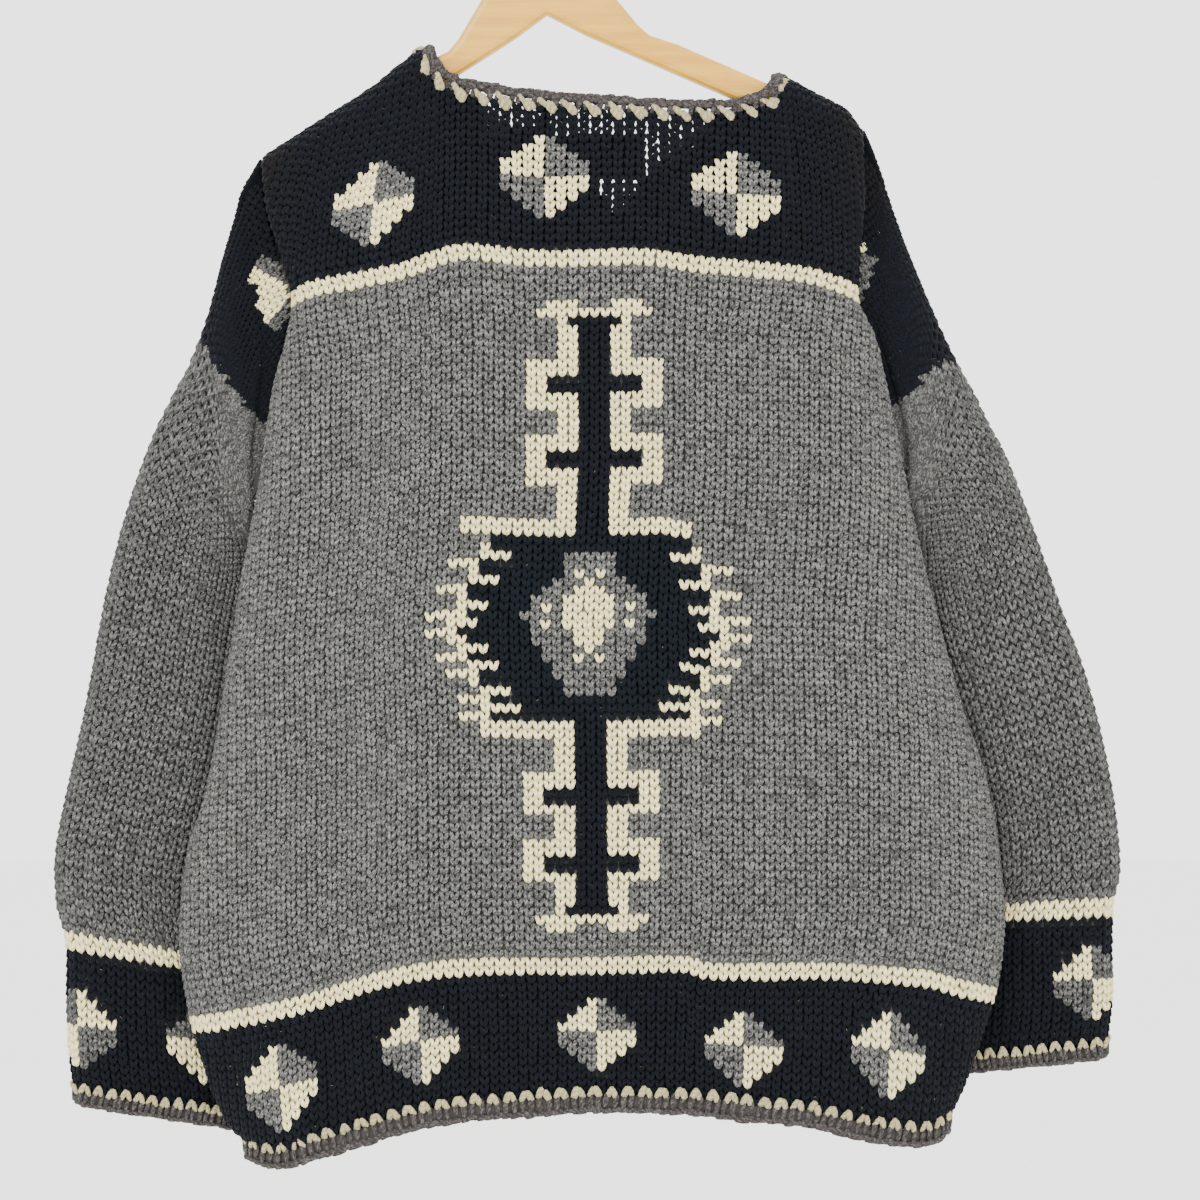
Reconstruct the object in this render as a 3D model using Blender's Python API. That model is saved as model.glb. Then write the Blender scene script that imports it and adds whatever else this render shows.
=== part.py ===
"""Chunky knit V-neck sweater hanging on a tilted wooden hanger, its back towards -Y.

Outline tables are drawn on a flat grid, across to +X and down to -Z, whose step is GRID.
The rail touches the inside of the hook at the part's origin.
"""

import math

import bmesh
import bpy
import numpy as np
from mathutils import Matrix

MM = 0.001
GRID = 0.70 * MM
RAIL_ACROSS = 532.0
RAIL_DOWN = -175.0

WALL = 4.5 * MM
SEAM_GAP = 0.3 * MM

# Hanger
TILT = math.radians(4.5)
RAIL_ABOVE_APEX = 134.0 * MM
ARM_SLOPE = math.radians(28.0)
ARM_LENGTH = 222.0 * MM
ARM_HEIGHT = 18.0 * MM
BAR_THICKNESS = 14.0 * MM
UNDERSIDE_DROP = 2.0 * MM
BAR_EDGE_RADIUS = 5.0 * MM
WIRE_RADIUS = 2.0 * MM
HOOK_INNER_RADIUS = 20.0 * MM
BORE_RADIUS = 2.35 * MM
SHANK_SEAT = 22.0 * MM
RIDGE_CLEARANCE = 0.7 * MM

# Section of the body
SECTION_POWER = 2.6
SHOULDER_POWER = 6.0
RIDGE_ROUND = 14.0 * MM
UNDERARM_ROW = 1.25
SEAM_ROLL = 4.0 * MM
ARMHOLE_INSET = 25.0 * MM
NECK_LEFT = 0.265
NECK_RIGHT = 0.872
NECK_TURN = 0.02
NECK_LIFT_LEFT = 4.8 * MM
NECK_LIFT_RIGHT = 3.0 * MM
NECK_LIFT_REACH = 40.0 * MM

# Crocheted edges
NECK_BAND = 8.0 * MM
HEM_BAND = 12.0 * MM
CUFF_BAND = 10.0 * MM
BAND_SWELL = 0.6 * MM

# Rows of the body from the shoulder, 0, by the yoke stripe, 1, and the low stripe, 2, to the hem, 3
BODY_ROWS = (
    0.0, 0.015, 0.05, 0.11, 0.2, 0.35, 0.5, 0.67, 0.83, 1.0, 1.08, 1.16, 1.215, UNDERARM_ROW,
    1.31, 1.38, 1.46, 1.54, 1.62, 1.70, 1.78, 1.86, 1.93, 2.0, 2.25, 2.5, 2.75, 3.0,
)
# Share of the way across the body
BODY_COLUMNS = (
    0.0, 0.006, 0.02, 0.05, 0.1, 0.155, 0.21, NECK_LEFT, 0.269, 0.277, 0.292, 0.335, 0.39, 0.45,
    0.507, 0.563, 0.62, 0.68, 0.74, 0.795, 0.845, 0.86, 0.868, NECK_RIGHT, 0.91, 0.945, 0.975,
    0.992, 1.0,
)

# Side edges: across, down
LEFT_EDGE = (
    (262, 160), (264, 200), (278, 260), (287, 299), (267, 393), (253, 488), (238, 569), (222, 667),
    (201, 791), (182, 854), (174, 939), (182, 1006), (197, 1062), (222, 1122), (240, 1140),
)
RIGHT_EDGE = (
    (862, 131), (866, 200), (863, 296), (880, 337), (896, 406), (920, 525), (944, 623),
    (967, 707), (992, 782), (1005, 858), (1010, 920), (1005, 975), (986, 1040), (967, 1091),
    (955, 1114),
)
# Lines across the body: across, down
BACK_NECK = (
    (421, 60), (423.4, 62), (428, 69), (437, 82), (463, 95), (510, 103), (554, 108), (600, 111),
    (650, 114), (700, 116), (739, 114), (769, 105), (778, 97), (783, 89), (785.2, 86),
)
FRONT_NECK = (
    (421, 60), (423.4, 62), (428, 68), (437, 80), (520, 156), (600, 232), (690, 152), (769, 100),
    (778, 94), (783, 88), (785.2, 86),
)
YOKE_STRIPE = (
    (287, 299), (319, 288), (353, 283), (401, 274), (468, 255), (541, 262), (637, 260),
    (701, 268), (800, 276), (838, 286), (863, 296),
)
LOW_STRIPE = (
    (187, 1033), (236, 1025), (322, 1003), (380, 984), (437, 973), (480, 970), (600, 969),
    (675, 967), (701, 975), (800, 975), (900, 982), (945, 993), (987, 1004),
)
HEM = (
    (240, 1140), (273, 1147), (293, 1144), (322, 1134), (351, 1125), (408, 1108), (466, 1097),
    (552, 1091), (600, 1088), (675, 1089), (755, 1098), (800, 1102), (850, 1114), (900, 1124),
    (922, 1126), (955, 1114),
)
# Depths in millimetres: row, back depth, front depth, back edge, front edge
DEPTHS = (
    (0.0, 15, 15, 0, 0),
    (0.2, 17, 17, 3, 8),
    (0.6, 24, 26, 8, 20),
    (1.0, 31, 31, 10, 25),
    (1.16, 33, 29, 11, 19),
    (UNDERARM_ROW, 34, 26, 11, 11),
    (1.6, 37, 23, 9, 9),
    (2.0, 39, 23, 8, 8),
    (3.0, 42, 27, 7, 7),
)
# Soft folds: side (-1 back, 1 front), across, top row, bottom row, width mm, height mm
FOLDS = (
    (-1, 345, 0.5, 1.9, 26, -4.0),
    (-1, 420, 0.9, 2.6, 34, 3.0),
    (-1, 300, 1.5, 3.3, 24, 4.5),
    (-1, 245, 1.7, 3.4, 16, -3.0),
    (-1, 800, 0.6, 2.0, 26, -4.0),
    (-1, 735, 1.0, 2.7, 32, 2.5),
    (-1, 890, 1.6, 3.3, 26, 4.0),
    (-1, 950, 1.8, 3.4, 15, -3.0),
    (-1, 560, 2.2, 3.5, 40, -3.5),
    (-1, 680, 2.3, 3.5, 24, 2.5),
    (1, 380, 1.9, 3.4, 22, -3.5),
    (1, 470, 1.2, 3.2, 30, 3.5),
    (1, 600, 1.3, 3.3, 34, -3.5),
    (1, 710, 1.2, 3.3, 28, 3.5),
    (1, 800, 1.9, 3.4, 22, -3.0),
)
# Sleeves: outer across, outer down, inner across, inner down, outer y mm, inner y mm, depth mm
SLEEVE_LEFT = (
    (238, 205, 248, 490, 9, 13, 24),
    (219, 268, 246, 506, 15, 19, 29),
    (199, 339, 246, 528, 19, 28, 34),
    (155, 427, 250, 554, 21, 40, 37),
    (122, 520, 276, 606, 20, 50, 38),
    (99, 618, 318, 688, 20, 53, 38),
    (85, 700, 338, 768, 20, 53, 38),
    (64, 795, 323, 860, 20, 53, 38),
    (51, 881, 300, 935, 19, 51, 37),
    (64, 946, 292, 986, 18, 48, 33),
    (65, 1030, 290, 1058, 18, 48, 33),
    (72, 1092, 295, 1130, 18, 50, 34),
)
SLEEVE_RIGHT = (
    (881, 185, 912, 470, 9, 13, 24),
    (903, 240, 916, 486, 15, 18, 29),
    (928, 297, 918, 506, 18, 24, 33),
    (956, 358, 918, 532, 20, 33, 36),
    (1004, 450, 896, 586, 21, 46, 38),
    (1034, 525, 852, 652, 21, 53, 38),
    (1062, 606, 826, 704, 20, 53, 38),
    (1089, 680, 842, 752, 20, 53, 38),
    (1108, 757, 860, 808, 20, 53, 38),
    (1119, 822, 872, 861, 20, 53, 38),
    (1122, 879, 881, 904, 19, 51, 37),
    (1113, 918, 884, 926, 18, 48, 33),
    (1115, 985, 885, 994, 18, 48, 33),
    (1109, 1046, 886, 1072, 18, 50, 34),
)
SLEEVE_RINGS = 18
SLEEVE_BLEND = 0.22
SLEEVE_POWER = 2.4

# Upper edge of the bar from its middle: out mm, above the apex mm
BAR_CROWN = ((0, 60), (10, 58.5), (20, 52), (30, 38), (40, 22), (47.5, 10.6), (55, 0), (63, -11.5))

COLOURS = {
    "back": ((0.22, 0.22, 0.21), 0.95, 0.0),
    "front": ((0.20, 0.20, 0.19), 0.95, 0.0),
    "sleeve": ((0.19, 0.19, 0.18), 0.95, 0.0),
    "edging": ((0.19, 0.16, 0.14), 0.95, 0.0),
    "wood": ((0.93, 0.60, 0.20), 0.35, 0.0),
    "steel": ((0.62, 0.62, 0.62), 0.25, 1.0),
}


def clear_scene():
    for thing in list(bpy.data.objects):
        bpy.data.objects.remove(thing, do_unlink=True)


def material(name):
    """A Principled material from its row of colour, roughness and metallic value."""
    colour, roughness, metallic = COLOURS[name]
    made = bpy.data.materials.get(name) or bpy.data.materials.new(name)
    made.use_nodes = True
    shader = made.node_tree.nodes["Principled BSDF"]
    shader.inputs["Base Color"].default_value = (*colour, 1.0)
    shader.inputs["Roughness"].default_value = roughness
    shader.inputs["Metallic"].default_value = metallic
    return made


def place_x(across):
    return (np.asarray(across, float) - RAIL_ACROSS) * GRID


def place_z(down):
    return (RAIL_DOWN - np.asarray(down, float)) * GRID


def smooth(knots, values, at):
    """Cubic through the knots, which rise, with no overshoot between them."""
    knots = np.asarray(knots, float)
    values = np.asarray(values, float)
    steps = np.diff(values) / np.diff(knots)
    before = np.concatenate([steps[:1], steps])
    after = np.concatenate([steps, steps[-1:]])
    same_way = before * after > 0
    total = np.where(same_way, before + after, 1.0)
    slopes = np.where(same_way, 2 * before * after / total, 0.0)
    slopes[0] = steps[0]
    slopes[-1] = steps[-1]
    at = np.clip(at, knots[0], knots[-1])
    low = np.clip(np.searchsorted(knots, at, side="right") - 1, 0, len(knots) - 2)
    width = knots[low + 1] - knots[low]
    t = (at - knots[low]) / width
    rise = values[low] * (1 + 2 * t) * (1 - t) ** 2 + values[low + 1] * t * t * (3 - 2 * t)
    return rise + width * (slopes[low] * t * (1 - t) ** 2 - slopes[low + 1] * t * t * (1 - t))


def ease(t):
    t = np.clip(t, 0.0, 1.0)
    return t * t * (3 - 2 * t)


def on_line(line, x):
    """Height of a line across the body where it passes x."""
    points = np.array(line, float)
    return smooth(place_x(points[:, 0]), place_z(points[:, 1]), x)


def edge_x(edge, z):
    points = np.array(edge, float)
    return smooth(-place_z(points[:, 1]), place_x(points[:, 0]), -z)


def arm_top(x):
    """Height of the bar's straight upper edges in the tilted hanger, for a place on an arm."""
    apex_x = RAIL_ABOVE_APEX * math.sin(TILT)
    apex_z = -RAIL_ABOVE_APEX * math.cos(TILT)
    slope = ARM_SLOPE + np.where(x < apex_x, TILT, -TILT)
    return apex_z - np.abs(x - apex_x) * np.tan(slope) + ARM_HEIGHT / np.cos(slope)


def shoulder_line(x, left):
    """Ridge of the cloth over an arm, which drops off beyond the arm's end."""
    corner_across, tip = (421.0, LEFT_EDGE[0]) if left else (785.2, RIGHT_EDGE[0])
    drop_from = 284.0 if left else 838.0
    over_arm = arm_top(x) + RIDGE_CLEARANCE + WALL
    end = (x - place_x(drop_from)) / (place_x(tip[0]) - place_x(drop_from))
    tip_fall = arm_top(place_x(tip[0])) + RIDGE_CLEARANCE + WALL - place_z(tip[1])
    from_neck = np.abs(x - place_x(corner_across))
    lift = NECK_LIFT_LEFT if left else NECK_LIFT_RIGHT
    return over_arm - tip_fall * ease(end) ** 1.5 + lift * ease(1 - from_neck / NECK_LIFT_REACH)


def top_height(share, x, neck_line):
    """The upper edge of a panel: a shoulder ridge on each side and a neck line between."""
    left = shoulder_line(x, True)
    right = shoulder_line(x, False)
    points = np.array(neck_line, float)
    knots = place_x(points[:, 0])
    heights = place_z(points[:, 1])
    heights[0] = shoulder_line(knots[0], True)
    heights[-1] = shoulder_line(knots[-1], False)
    neck = smooth(knots, heights, x)
    return np.where(share <= NECK_LEFT + 1e-9, left, np.where(share >= NECK_RIGHT - 1e-9, right, neck))


def neck_share(share):
    """0 on the shoulder ridges and 1 inside the neck."""
    inside = np.minimum(share - NECK_LEFT, NECK_RIGHT - share)
    return np.sqrt(1 - (1 - np.clip(inside / NECK_TURN, 0, 1)) ** 2)


def guide_row(row, share, neck_line):
    """X and Z of points at one row of a panel, by their share of the way across."""
    table = (None, YOKE_STRIPE, LOW_STRIPE, HEM)
    low = min(int(row), 2)
    part = row - low

    def line_points(number):
        if number == 0:
            ends = place_x((LEFT_EDGE[0][0], RIGHT_EDGE[0][0]))
            x = ends[0] + (ends[1] - ends[0]) * share
            return x, top_height(share, x, neck_line)
        points = table[number]
        ends = place_x((points[0][0], points[-1][0]))
        x = ends[0] + (ends[1] - ends[0]) * share
        return x, on_line(points, x)

    z = line_points(low)[1] * (1 - part) + line_points(low + 1)[1] * part
    ends_z = []
    for side in (0, -1):
        upper = (LEFT_EDGE, RIGHT_EDGE)[side][0] if low == 0 else table[low][side]
        lower = table[low + 1][side]
        ends_z.append(place_z(upper[1] * (1 - part) + lower[1] * part))
    left_x = edge_x(LEFT_EDGE, ends_z[0])
    right_x = edge_x(RIGHT_EDGE, ends_z[1])
    return left_x, right_x, z


def depth_values(row):
    table = np.array(DEPTHS, float)
    return [float(smooth(table[:, 0], table[:, n], row)) * MM for n in range(1, 5)]


def fold_height(side, x, row):
    """How far the folds stand out from a panel, outwards being positive."""
    total = np.zeros_like(x)
    for fold_side, across, top, bottom, width, height in FOLDS:
        if fold_side != side:
            continue
        along = ease((row - top) / 0.5) * ease((bottom - row) / 0.5)
        drift = place_x(across) + 0.010 * math.sin(2.1 * row + 0.02 * across)
        total += height * MM * along * np.exp(-(((x - drift) / (width * MM)) ** 2))
    return total


def panel_row(side, row, inset):
    """One row of a panel, inset from its outer face, for side -1, the back, or 1, the front."""
    share = np.array(BODY_COLUMNS)
    neck_line = BACK_NECK if side < 0 else FRONT_NECK
    left, right, z = guide_row(row, share, neck_line)
    back_depth, front_depth, back_edge, front_edge = depth_values(row)
    if row >= UNDERARM_ROW:
        front_edge = back_edge
    depth, edge = (back_depth, -back_edge) if side < 0 else (front_depth, front_edge)
    armhole = ease(row / 0.5) * ease((UNDERARM_ROW - row) / 0.4) if side > 0 else 0.0
    roll = SEAM_ROLL * ease(row / 0.3)
    power = SECTION_POWER + SHOULDER_POWER * (1 - ease(row / 0.8))
    round_off = np.power(np.clip(1 - np.abs(2 * share - 1) ** power, 0, 1), 1 / power)
    top = guide_row(0.0, share, neck_line)[2]
    below = top - z
    neck = neck_share(share)
    crest = np.clip(1 - below / RIDGE_ROUND, 0, 1)
    turned_in = roll * (1 - round_off) ** 2 + armhole * ARMHOLE_INSET * (1 - round_off) ** 0.5
    turned_in = turned_in + inset * (1 - crest * (1 - neck))
    middle = (left + right) / 2
    half = (right - left) / 2
    x = middle + (half - turned_in) * (2 * share - 1)
    rounded = np.power(1 - crest ** 2.4, 1 / 2.4)
    rounded = rounded + (1 - rounded) * neck
    z = z - inset * crest * (1 - neck)
    stand = edge + (depth - inset - edge) * round_off
    stand = stand + fold_height(side, x, row) * round_off
    y = side * (stand * rounded + SEAM_GAP / 2)
    return np.stack([x, y, z], axis=1)


def panel_faces(side):
    outer = np.array([panel_row(side, row, 0.0) for row in BODY_ROWS])
    inner = np.array([panel_row(side, row, WALL) for row in BODY_ROWS])
    return outer, inner


def mesh_object(name, points, faces, look):
    """A closed mesh whose faces point outwards, whichever way they were listed."""
    mesh = bpy.data.meshes.new(name)
    mesh.from_pydata([tuple(p) for p in points], [], faces)
    shaped = bmesh.new()
    shaped.from_mesh(mesh)
    bmesh.ops.triangulate(shaped, faces=shaped.faces)
    if shaped.calc_volume(signed=True) < 0:
        bmesh.ops.reverse_faces(shaped, faces=shaped.faces)
    shaped.to_mesh(mesh)
    shaped.free()
    mesh.shade_smooth()
    mesh.set_sharp_from_angle(angle=math.radians(50))
    mesh.materials.append(material(look))
    made = bpy.data.objects.new(name, mesh)
    bpy.context.scene.collection.objects.link(made)
    return made


def wall(name, outer, inner, look, closed=False):
    """A cloth wall between two grids of points, with rims on its open edges."""
    rows, columns = outer.shape[:2]
    points = np.concatenate([outer.reshape(-1, 3), inner.reshape(-1, 3)])
    half = rows * columns
    faces = []
    across = columns if closed else columns - 1
    for r in range(rows - 1):
        for c in range(across):
            d = (c + 1) % columns
            a0, a1 = r * columns + c, r * columns + d
            b0, b1 = a0 + columns, a1 + columns
            faces.append((a0, a1, b1, b0))
            faces.append((half + a0, half + b0, half + b1, half + a1))
    for c in range(across):
        d = (c + 1) % columns
        last = (rows - 1) * columns
        faces.append((c, half + c, half + d, d))
        faces.append((last + c, last + d, half + last + d, half + last + c))
    if not closed:
        for r in range(rows - 1):
            a, b = r * columns, (r + 1) * columns
            e, f = a + columns - 1, b + columns - 1
            faces.append((a, b, half + b, half + a))
            faces.append((e, half + e, half + f, f))
    return mesh_object(name, points, faces, look)


def section_points(half_width, half_depth, shares):
    """Places on half a flattened oval, by their share of its length from end to end."""
    turn = np.linspace(0, math.pi, 181)
    wide = half_width * np.sign(np.cos(turn)) * np.abs(np.cos(turn)) ** (2 / SLEEVE_POWER)
    deep = half_depth * np.abs(np.sin(turn)) ** (2 / SLEEVE_POWER)
    run = np.concatenate([[0], np.cumsum(np.hypot(np.diff(wide), np.diff(deep)))])
    at = np.asarray(shares) * run[-1]
    return np.interp(at, run, wide), np.interp(at, run, deep)


def armhole_loop(back, front, end, last_row):
    """Edge points round an armhole: down the back panel and up the front."""
    down = back[: last_row + 1, end].copy()
    up = front[last_row::-1, end].copy()
    clear = np.clip((up[::-1, 1] - down[:, 1]) / 3, 0, SEAM_GAP)
    down[:, 1] += clear
    up[:, 1] -= clear[::-1]
    outwards = -2 * SEAM_GAP if end == 0 else 2 * SEAM_GAP
    down[:, 0] += outwards
    up[:, 0] += outwards
    down[0, 1] = up[-1, 1] = 0.0
    down[-1, 1] = up[0, 1] = (back[last_row, end, 1] + front[last_row, end, 1]) / 2
    return np.concatenate([down, up[1:-1]])


def unit(vectors):
    return vectors / np.maximum(np.linalg.norm(vectors, axis=-1, keepdims=True), 1e-9)


def sleeve_inside(outer, section, loop):
    """The inner rings: the wall turns from its way through the armhole's rim to the sleeve's own."""
    around = np.roll(outer, -1, axis=1) - np.roll(outer, 1, axis=1)
    normals = unit(np.cross(around, np.gradient(outer, axis=0)))
    if ((outer - outer.mean(axis=1)[:, None]) * normals).sum() < 0:
        normals = -normals
    mix = ease(np.arange(len(outer)) / SLEEVE_RINGS / SLEEVE_BLEND)[:, None, None]
    way = unit(unit(outer[0] - loop) * (1 - mix) + unit(outer - section) * mix)
    agree = np.clip((way * normals).sum(axis=2, keepdims=True), 0, 1)
    through = unit(way + normals * agree * (1 - mix))
    inside = (outer - through * WALL) * (1 - mix) + section * mix
    inside[0] = loop
    return inside


def sleeve_grid(stations, loop, inset):
    """Rings of a sleeve from the armhole loop to the cuff."""
    table = np.array(stations, float)
    half_count = len(loop) // 2
    knots = np.linspace(1 / len(table), 1, len(table))
    rings = [loop]
    down_side = loop[: half_count + 1]
    run = np.concatenate([[0], np.cumsum(np.linalg.norm(np.diff(down_side, axis=0), axis=1))])
    loop_share = run / run[-1]
    even_share = 0.5 - 0.5 * np.cos(math.pi * np.arange(half_count + 1) / half_count)
    loop_middle = (loop[0] + loop[half_count]) / 2
    for number in range(1, SLEEVE_RINGS + 1):
        t = number / SLEEVE_RINGS
        t = max(t, knots[0]) if number > 1 else (t + knots[0]) / 2
        v = [float(smooth(knots, table[:, n], t)) for n in range(7)]
        outer = np.array([place_x(v[0]), v[4] * MM, place_z(v[1])])
        inner = np.array([place_x(v[2]), v[5] * MM, place_z(v[3])])
        middle = (outer + inner) / 2
        wide = outer - inner
        half_width = np.linalg.norm(wide) / 2
        wide = wide / np.linalg.norm(wide)
        face = np.array([0.0, -1.0, 0.0])
        face = face - wide * face.dot(wide)
        face = face / np.linalg.norm(face)
        mix = float(ease(t / SLEEVE_BLEND))
        shares = loop_share * (1 - mix) + even_share * mix
        w, d = section_points(half_width - inset, v[6] * MM / 2 - inset, shares)
        back_side = middle + w[:, None] * wide + d[:, None] * face
        front_side = middle + w[:, None] * wide - d[:, None] * face
        ring = np.concatenate([back_side, front_side[half_count - 1:0:-1]])
        moved = loop + middle - loop_middle
        rings.append(moved * (1 - mix) + ring * mix)
    return np.array(rings)


def edge_band(name, outer, inner, height, upward, lean=0.0):
    """A crocheted edge that stands on a closed rim, made from the rim's own points."""
    middle = (outer + inner) / 2
    thick = outer - inner
    thick = thick / np.linalg.norm(thick, axis=1)[:, None]
    along = np.roll(middle, -1, axis=0) - np.roll(middle, 1, axis=0)
    rise = np.cross(along, thick)
    rise = rise / np.linalg.norm(rise, axis=1)[:, None]
    if rise[:, 2].sum() * upward < 0:
        rise = -rise
    rise = rise + np.array([0.0, 0.0, lean])
    rise = rise / np.linalg.norm(rise, axis=1)[:, None]
    half = WALL / 2
    rounds = ((SEAM_GAP, half - 0.3 * MM), (height * 0.45, half + BAND_SWELL), (height, half - 1.2 * MM))
    profile = [middle + rise * up + thick * out for up, out in rounds]
    profile += [middle + rise * up - thick * out for up, out in reversed(rounds)]
    grid = np.array(profile)
    levels, count = grid.shape[:2]
    faces = []
    for level in range(levels):
        for c in range(count):
            d = (c + 1) % count
            below, above = level * count, ((level + 1) % levels) * count
            faces.append((below + c, below + d, above + d, above + c))
    return mesh_object(name, grid.reshape(-1, 3), faces, "edging")


def neck_rim(back, front):
    """Rim points round the neck: across the back, then back along the V of the front."""
    columns = np.array(BODY_COLUMNS)
    first = int(np.argmin(np.abs(columns - NECK_LEFT)))
    last = int(np.argmin(np.abs(columns - NECK_RIGHT)))
    over = back[0, first:last + 1].copy()
    under = front[0, last - 1:first:-1].copy()
    over[0, 1] = over[-1, 1] = 0.0
    return np.concatenate([over, under])


def hem_rim(back, front):
    over = back[-1].copy()
    under = front[-1, -2:0:-1].copy()
    for end in (0, -1):
        over[end, 1] = (back[-1, end, 1] + front[-1, end, 1]) / 2
    return np.concatenate([over, under])


def bar_outline():
    """Half of the bar's outline from its middle, up over the crown and down the arm."""
    crown = [(out * MM, up * MM) for out, up in BAR_CROWN]
    direction = np.array([math.cos(ARM_SLOPE), -math.sin(ARM_SLOPE)])
    across = np.array([math.sin(ARM_SLOPE), math.cos(ARM_SLOPE)])
    top_start = 92.0 * MM
    upper = [direction * along + across * ARM_HEIGHT for along in (top_start, 150 * MM, ARM_LENGTH - 16 * MM)]
    nose = direction * (ARM_LENGTH - 8 * MM) + across * ARM_HEIGHT * 0.42
    tip = [nose + across * 7.0 * MM * math.sin(a) + direction * 7.5 * MM * math.cos(a)
           for a in np.radians((50, 10, -35, -80))]
    lower = [direction * along - across * UNDERSIDE_DROP for along in (ARM_LENGTH - 20 * MM, 30 * MM)]
    blend = [(70.5 * MM, -19.3 * MM)]
    points = crown + blend + [tuple(p) for p in upper + tip + lower]
    return points


def hanger_matrix():
    """From the untilted hanger, its origin under the middle of the bar, to the part."""
    turn = Matrix.Rotation(-TILT, 4, "Y")
    drop = Matrix.Translation((0, 0, -RAIL_ABOVE_APEX))
    return turn @ drop


def make_bar():
    """The shaped wooden bar, with a bore for the hook in its crown."""
    half = bar_outline()
    outline = half + [(0.0, 0.0)] + [(-x, z) for x, z in reversed(half[1:])]
    mesh = bpy.data.meshes.new("hanger_bar")
    shaped = bmesh.new()
    ring = [shaped.verts.new((x, -BAR_THICKNESS / 2, z)) for x, z in outline]
    face = shaped.faces.new(ring)
    grown = bmesh.ops.extrude_face_region(shaped, geom=[face])
    moved = [v for v in grown["geom"] if isinstance(v, bmesh.types.BMVert)]
    bmesh.ops.translate(shaped, verts=moved, vec=(0, BAR_THICKNESS, 0))
    bmesh.ops.recalc_face_normals(shaped, faces=shaped.faces)
    rim = [e for e in shaped.edges if abs(e.verts[0].co.y - e.verts[1].co.y) < 1e-6]
    bmesh.ops.bevel(shaped, geom=rim, offset=BAR_EDGE_RADIUS, offset_type="OFFSET", segments=3,
                    profile=0.5, affect="EDGES", clamp_overlap=True)
    bmesh.ops.triangulate(shaped, faces=shaped.faces)
    shaped.to_mesh(mesh)
    shaped.free()
    mesh.transform(hanger_matrix())
    mesh.materials.append(material("wood"))
    bar = bpy.data.objects.new("hanger_bar", mesh)
    bpy.context.scene.collection.objects.link(bar)
    cutter = tube("hook_bore", [(0, 0, 30 * MM), (0, 0, 75 * MM)], BORE_RADIUS, "steel", 12)
    cutter.hide_render = True
    cutter.display_type = "WIRE"
    cut = bar.modifiers.new("bore", "BOOLEAN")
    cut.operation = "DIFFERENCE"
    cut.object = cutter
    return bar


def tube(name, centres, radius, look, sides, tip_ball=False):
    """A round rod along points of the untilted hanger's own plane."""
    path = np.array(centres, float)
    along = np.gradient(path, axis=0)
    along = along / np.linalg.norm(along, axis=1)[:, None]
    depth = np.array([0.0, 1.0, 0.0])
    side = np.cross(along, depth)
    angles = 2 * math.pi * np.arange(sides) / sides
    radii = np.full(len(path), radius)
    if tip_ball:
        radii[-1] = radius * 0.55
    rings = [
        p + r * (np.cos(angles)[:, None] * s + np.sin(angles)[:, None] * depth)
        for p, s, r in zip(path, side, radii)
    ]
    count = len(rings)
    faces = [tuple(range(sides)), tuple((count - 1) * sides + k for k in range(sides))[::-1]]
    for r in range(count - 1):
        for k in range(sides):
            n = (k + 1) % sides
            faces.append((r * sides + k, r * sides + n, (r + 1) * sides + n, (r + 1) * sides + k)[::-1])
    made = mesh_object(name, np.concatenate(rings), faces, look)
    made.data.transform(hanger_matrix())
    return made


def make_hook():
    """The bent wire hook: a shank seated in the bar, a neck and three quarters of a circle."""
    radius = HOOK_INNER_RADIUS + WIRE_RADIUS
    centre = RAIL_ABOVE_APEX - HOOK_INNER_RADIUS
    bottom = BAR_CROWN[0][1] * MM - SHANK_SEAT
    shank = [(0, 0, z) for z in np.linspace(bottom, 78 * MM, 5)]
    neck_turns = np.radians((8, 20, 34, 48))
    bend = 14.0 * MM
    neck = [(-bend * (1 - math.cos(a)), 0, 78 * MM + bend * math.sin(a)) for a in neck_turns]
    circle = [
        (radius * math.cos(a), 0, centre + radius * math.sin(a))
        for a in np.radians(np.arange(212, -36, -13))
    ]
    return tube("hanger_hook", shank + neck + circle, WIRE_RADIUS, "steel", 10, tip_ball=True)


def main():
    clear_scene()
    back_outer, back_inner = panel_faces(-1)
    front_outer, front_inner = panel_faces(1)
    wall("back", back_outer, back_inner, "back")
    wall("front", front_outer, front_inner, "front")
    armhole_last = BODY_ROWS.index(UNDERARM_ROW)
    for name, end, stations in (("left", 0, SLEEVE_LEFT), ("right", -1, SLEEVE_RIGHT)):
        loops = [armhole_loop(b, f, end, armhole_last)
                 for b, f in ((back_outer, front_outer), (back_inner, front_inner))]
        outer = sleeve_grid(stations, loops[0], 0.0)
        inner = sleeve_inside(outer, sleeve_grid(stations, loops[1], WALL), loops[1])
        wall(f"sleeve_{name}", outer, inner, "sleeve", closed=True)
        edge_band(f"cuff_edging_{name}", outer[-1], inner[-1], CUFF_BAND, -1)
    edge_band("neck_edging", neck_rim(back_outer, front_outer), neck_rim(back_inner, front_inner),
              NECK_BAND, 1, lean=0.6)
    edge_band("hem_edging", hem_rim(back_outer, front_outer), hem_rim(back_inner, front_inner),
              HEM_BAND, -1)
    make_bar()
    make_hook()


main()
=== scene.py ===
"""A chunky hand-knit V-neck sweater on a wooden hanger, seen from its patterned back.

Every stitch of the outside is a pair of yarn legs set on the cloth's own surface. The outline tables
are drawn on a flat grid, across to +X and down to -Z, whose step is GRID; the rail is at the origin.
"""

import math

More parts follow.
